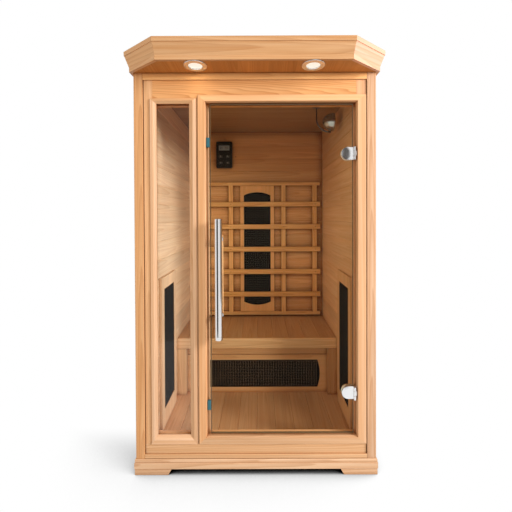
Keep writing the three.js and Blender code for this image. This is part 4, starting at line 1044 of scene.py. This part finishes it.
# power box in the roof tray: folded case, vents, lid screws and the nut of its cable gland
powerBox = {"round": 0.0025, "vents": 9, "ventPitch": 0.012, "ventLength": 0.072, "ventWidth": 0.0032, "ventRise": 0.0011}
addPiece(softCopy("power_box", "power_case", powerBox["round"]), "cabin", finishes["box"], ["power_box"])


def makeVentTree():        # a row of pressed louvres
    tree, given, result = makeGroup("ventRow", [
        ("Count", "Int", 8), ("Pitch", "Float", 0.012), ("Length", "Float", 0.07), ("Width", "Float", 0.003),
        ("Rise", "Float", 0.001), ("Finish", "Material", None),
    ], [("Vents", "Geometry")], "GeometryNodeTree")
    step = combine(tree, given["Pitch"], 0.0, 0.0)
    row = addNode(tree, "GeometryNodeMeshLine", {"Count": given["Count"], "Offset": step}).outputs[0]
    size = combine(tree, given["Width"], given["Length"], given["Rise"])
    louvre = addNode(tree, "GeometryNodeMeshCube", {"Size": size}).outputs["Mesh"]
    tilted = addNode(tree, "GeometryNodeTransform", {"Geometry": louvre, "Rotation": (0, math.radians(14), 0)}).outputs[0]
    placed = addNode(tree, "GeometryNodeInstanceOnPoints", {"Points": row, "Instance": tilted}).outputs[0]
    solid = addNode(tree, "GeometryNodeRealizeInstances", {0: placed}).outputs[0]
    painted = addNode(tree, "GeometryNodeSetMaterial", {"Geometry": solid, "Material": given["Finish"]}).outputs[0]
    tree.links.new(painted, result["Vents"])
    return tree


low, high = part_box("power_box")
mesh = growMesh("power_vents", makeVentTree(), {
    "Count": powerBox["vents"], "Pitch": powerBox["ventPitch"], "Length": powerBox["ventLength"],
    "Width": powerBox["ventWidth"], "Rise": powerBox["ventRise"], "Finish": finishes["box"],
})
mesh.transform(Matrix.Translation((low.x + 0.06, (low.y + high.y) / 2, high.z + 0.0002)))
addPiece(mesh, "cabin")
spots = [((x, y, high.z), (0, 0, 1)) for x in (low.x + 0.014, high.x - 0.014) for y in (low.y + 0.014, low.y + 0.206)]
addHeads("power_lid_screws", spots, screw, "cabin", finishes["steel"])
work = bmesh.new()
caseBack = low.y + 0.220
nut = [(0.0115, 0.0003), (0.0155, 0.0003), (0.0165, 0.0012), (0.0165, 0.0062), (0.0155, 0.007), (0.0115, 0.007)]
lathe(work, nut, (0.080, caseBack, (low.z + high.z) / 2), yAxis, 6, closed=True)
addPiece(meshFrom(work, "gland_nut"), "cabin", finishes["control"])
print("fasteners and power box done")


# stage: a pale floor that goes to white, with a painted shadow: darkened by occlusion close to the cabin, and by a
# leaning occlusion cast to the left that fades towards the back
stageLooks = {
    "size": 12.0, "bounce": 0.35, "contactReach": 0.16, "dark": 0.18, "clear": 0.72,
    "castReach": 0.72, "lean": (0.82, 0.18, 0.54), "castDark": 0.20, "castClear": 0.72, "castDepth": 0.50,
    "fadeFrom": -0.42, "fadeTo": -0.12,
}


def makeFloor(look):
    mesh = bpy.data.meshes.new("studioFloor")
    half = look["size"] / 2
    corners = [(-half, -half, 0), (half, -half, 0), (half, half, 0), (-half, half, 0)]
    mesh.from_pydata(corners, [], [(0, 1, 2, 3)])
    floor = bpy.data.objects.new("studioFloor", mesh)
    scene.collection.objects.link(floor)
    material, tree, shader = newMaterial("studioFloorPaint", Roughness=1.0)
    shader.inputs["Base Color"].default_value = (look["bounce"],) * 3 + (1,)
    shader.inputs["Specular IOR Level"].default_value = 0.0
    contact = addNode(tree, "ShaderNodeAmbientOcclusion", {"Distance": look["contactReach"]}, samples=16).outputs["AO"]
    # painted cast shadow: occlusion around a normal leant towards the key light, faded out towards the back
    lean = combine(tree, *look["lean"])
    cast = addNode(tree, "ShaderNodeAmbientOcclusion", {"Distance": look["castReach"], "Normal": lean}, samples=16)
    paintedCastShadow = ease(tree, cast.outputs["AO"], look["castDark"], look["castClear"])
    depth = addNode(tree, "ShaderNodeSeparateXYZ", {0: objectSpot(tree)}).outputs[1]
    paintedCastShadow = calc(tree, "MAXIMUM", paintedCastShadow, ease(tree, depth, look["fadeFrom"], look["fadeTo"]))
    paintedCastShadow = calc(tree, "MULTIPLY_ADD", paintedCastShadow, look["castDepth"], 1 - look["castDepth"])
    level = calc(tree, "MULTIPLY", ease(tree, contact, look["dark"], look["clear"]), paintedCastShadow)
    glow = addNode(tree, "ShaderNodeEmission", {"Strength": level})
    path = addNode(tree, "ShaderNodeLightPath").outputs
    seen = calc(tree, "MAXIMUM", path["Is Camera Ray"], path["Is Glossy Ray"])
    seen = calc(tree, "MAXIMUM", seen, path["Is Transmission Ray"])
    mixed = addNode(tree, "ShaderNodeMixShader", {0: seen, 1: shader.outputs[0], 2: glow.outputs[0]})
    tree.links.new(mixed.outputs[0], tree.nodes["Material Output"].inputs["Surface"])
    mesh.materials.append(material)


makeFloor(stageLooks)

# cards seen only as bands in polished metal: a dark one at the left, a grey one at the right
mirrorCards = {
    "leftCard": {"place": (-0.84, -1.95, 1.1), "aim": (-0.16, -0.50, 1.1), "size": (1.42, 4.0), "colour": (0.13, 0.12, 0.11, 1)},
    "rightCard": {"place": (2.74, -1.28, 1.1), "aim": (-0.16, -0.50, 1.1), "size": (2.2, 3.2), "colour": (0.55, 0.53, 0.50, 1)},
}


def makeCard(name, look):
    mesh = bpy.data.meshes.new(name)
    across, up = look["size"][0] / 2, look["size"][1] / 2
    mesh.from_pydata([(-across, -up, 0), (across, -up, 0), (across, up, 0), (-across, up, 0)], [], [(0, 1, 2, 3)])
    facing = Vector(look["aim"]) - Vector(look["place"])
    mesh.transform(Matrix.Translation(look["place"]) @ facing.to_track_quat("Z", "Y").to_matrix().to_4x4())
    material, tree, shader = newMaterial(name + "Cloth", Roughness=1.0)
    shader.inputs["Base Color"].default_value = look["colour"]
    mesh.materials.append(material)
    card = bpy.data.objects.new(name, mesh)
    card.visible_camera = card.visible_diffuse = card.visible_shadow = card.visible_transmission = False
    scene.collection.objects.link(card)


for name, look in mirrorCards.items():
    makeCard(name, look)

worldLook = {"ambient": 0.38, "colour": (1.0, 0.95, 0.86)}


def makeWorld(look):
    world = bpy.data.worlds.new("studioWorld")
    world.use_nodes = True
    tree = world.node_tree
    path = addNode(tree, "ShaderNodeLightPath").outputs
    seen = calc(tree, "MAXIMUM", path["Is Camera Ray"], path["Is Glossy Ray"])
    seen = calc(tree, "MAXIMUM", seen, path["Is Transmission Ray"])
    strength = addNode(tree, "ShaderNodeMix", {0: seen, 2: look["ambient"], 3: 1.0}).outputs[0]
    backdrop = tree.nodes["Background"]
    tree.links.new(mixColours(tree, seen, (*look["colour"], 1), (1, 1, 1, 1)), backdrop.inputs["Color"])
    tree.links.new(strength, backdrop.inputs["Strength"])
    scene.world = world


makeWorld(worldLook)

# soft boxes: place, point aimed at, width, height, power, colour and spread in degrees
softBoxes = {
    "keyBox": {"place": (4.7, -2.7, 2.9), "aim": (0, -0.2, 1.0), "size": (1.3, 1.5), "power": 300,
               "colour": (0.95, 1.0, 1.14), "spread": 180},
    "sideBox": {"place": (2.8, -4.0, 2.2), "aim": (0, -0.2, 0.9), "size": (1.0, 1.0), "power": 88,
                "colour": (0.98, 1.0, 1.04), "spread": 180},
    "leftBox": {"place": (-3.4, -2.8, 1.6), "aim": (0, -0.2, 0.9), "size": (1.8, 2.4), "power": 50,
                "colour": (1.0, 0.94, 0.84), "spread": 180},
    "innerBox": {"place": (-0.14, -0.40, 1.40), "aim": (0.05, 0.55, 0.72), "size": (0.12, 0.12), "power": 0.85,
                 "colour": (1.0, 0.98, 0.94), "spread": 100},
    "wallBox": {"place": (0.36, -0.41, 0.95), "aim": (-0.50, -0.06, 0.80), "size": (0.08, 0.60), "power": 0.55,
                "colour": (0.70, 0.90, 1.0), "spread": 80},
    "leftGlow": {"place": (-0.253, -0.50, 1.816), "aim": (-0.253, -0.46, 1.70), "size": (0.05, 0.05), "power": 0.08,
                 "colour": (1.0, 0.72, 0.38), "spread": 170},
    "rightGlow": {"place": (0.253, -0.50, 1.816), "aim": (0.253, -0.46, 1.70), "size": (0.05, 0.05), "power": 0.024,
                  "colour": (1.0, 0.76, 0.45), "spread": 170},
}
for name, box in softBoxes.items():
    light = bpy.data.lights.new(name, "AREA")
    light.shape = "RECTANGLE"
    light.size, light.size_y = box["size"]
    light.energy = box["power"]
    light.color = box["colour"]
    light.spread = math.radians(box["spread"])
    lamp = bpy.data.objects.new(name, light)
    away = Vector(box["place"]) - Vector(box["aim"])
    lamp.matrix_world = Matrix.Translation(box["place"]) @ away.to_track_quat("Z", "Y").to_matrix().to_4x4()
    lamp.visible_camera = lamp.visible_glossy = lamp.visible_transmission = False        # light, but no mirror image
    scene.collection.objects.link(lamp)
print("stage and lights done")
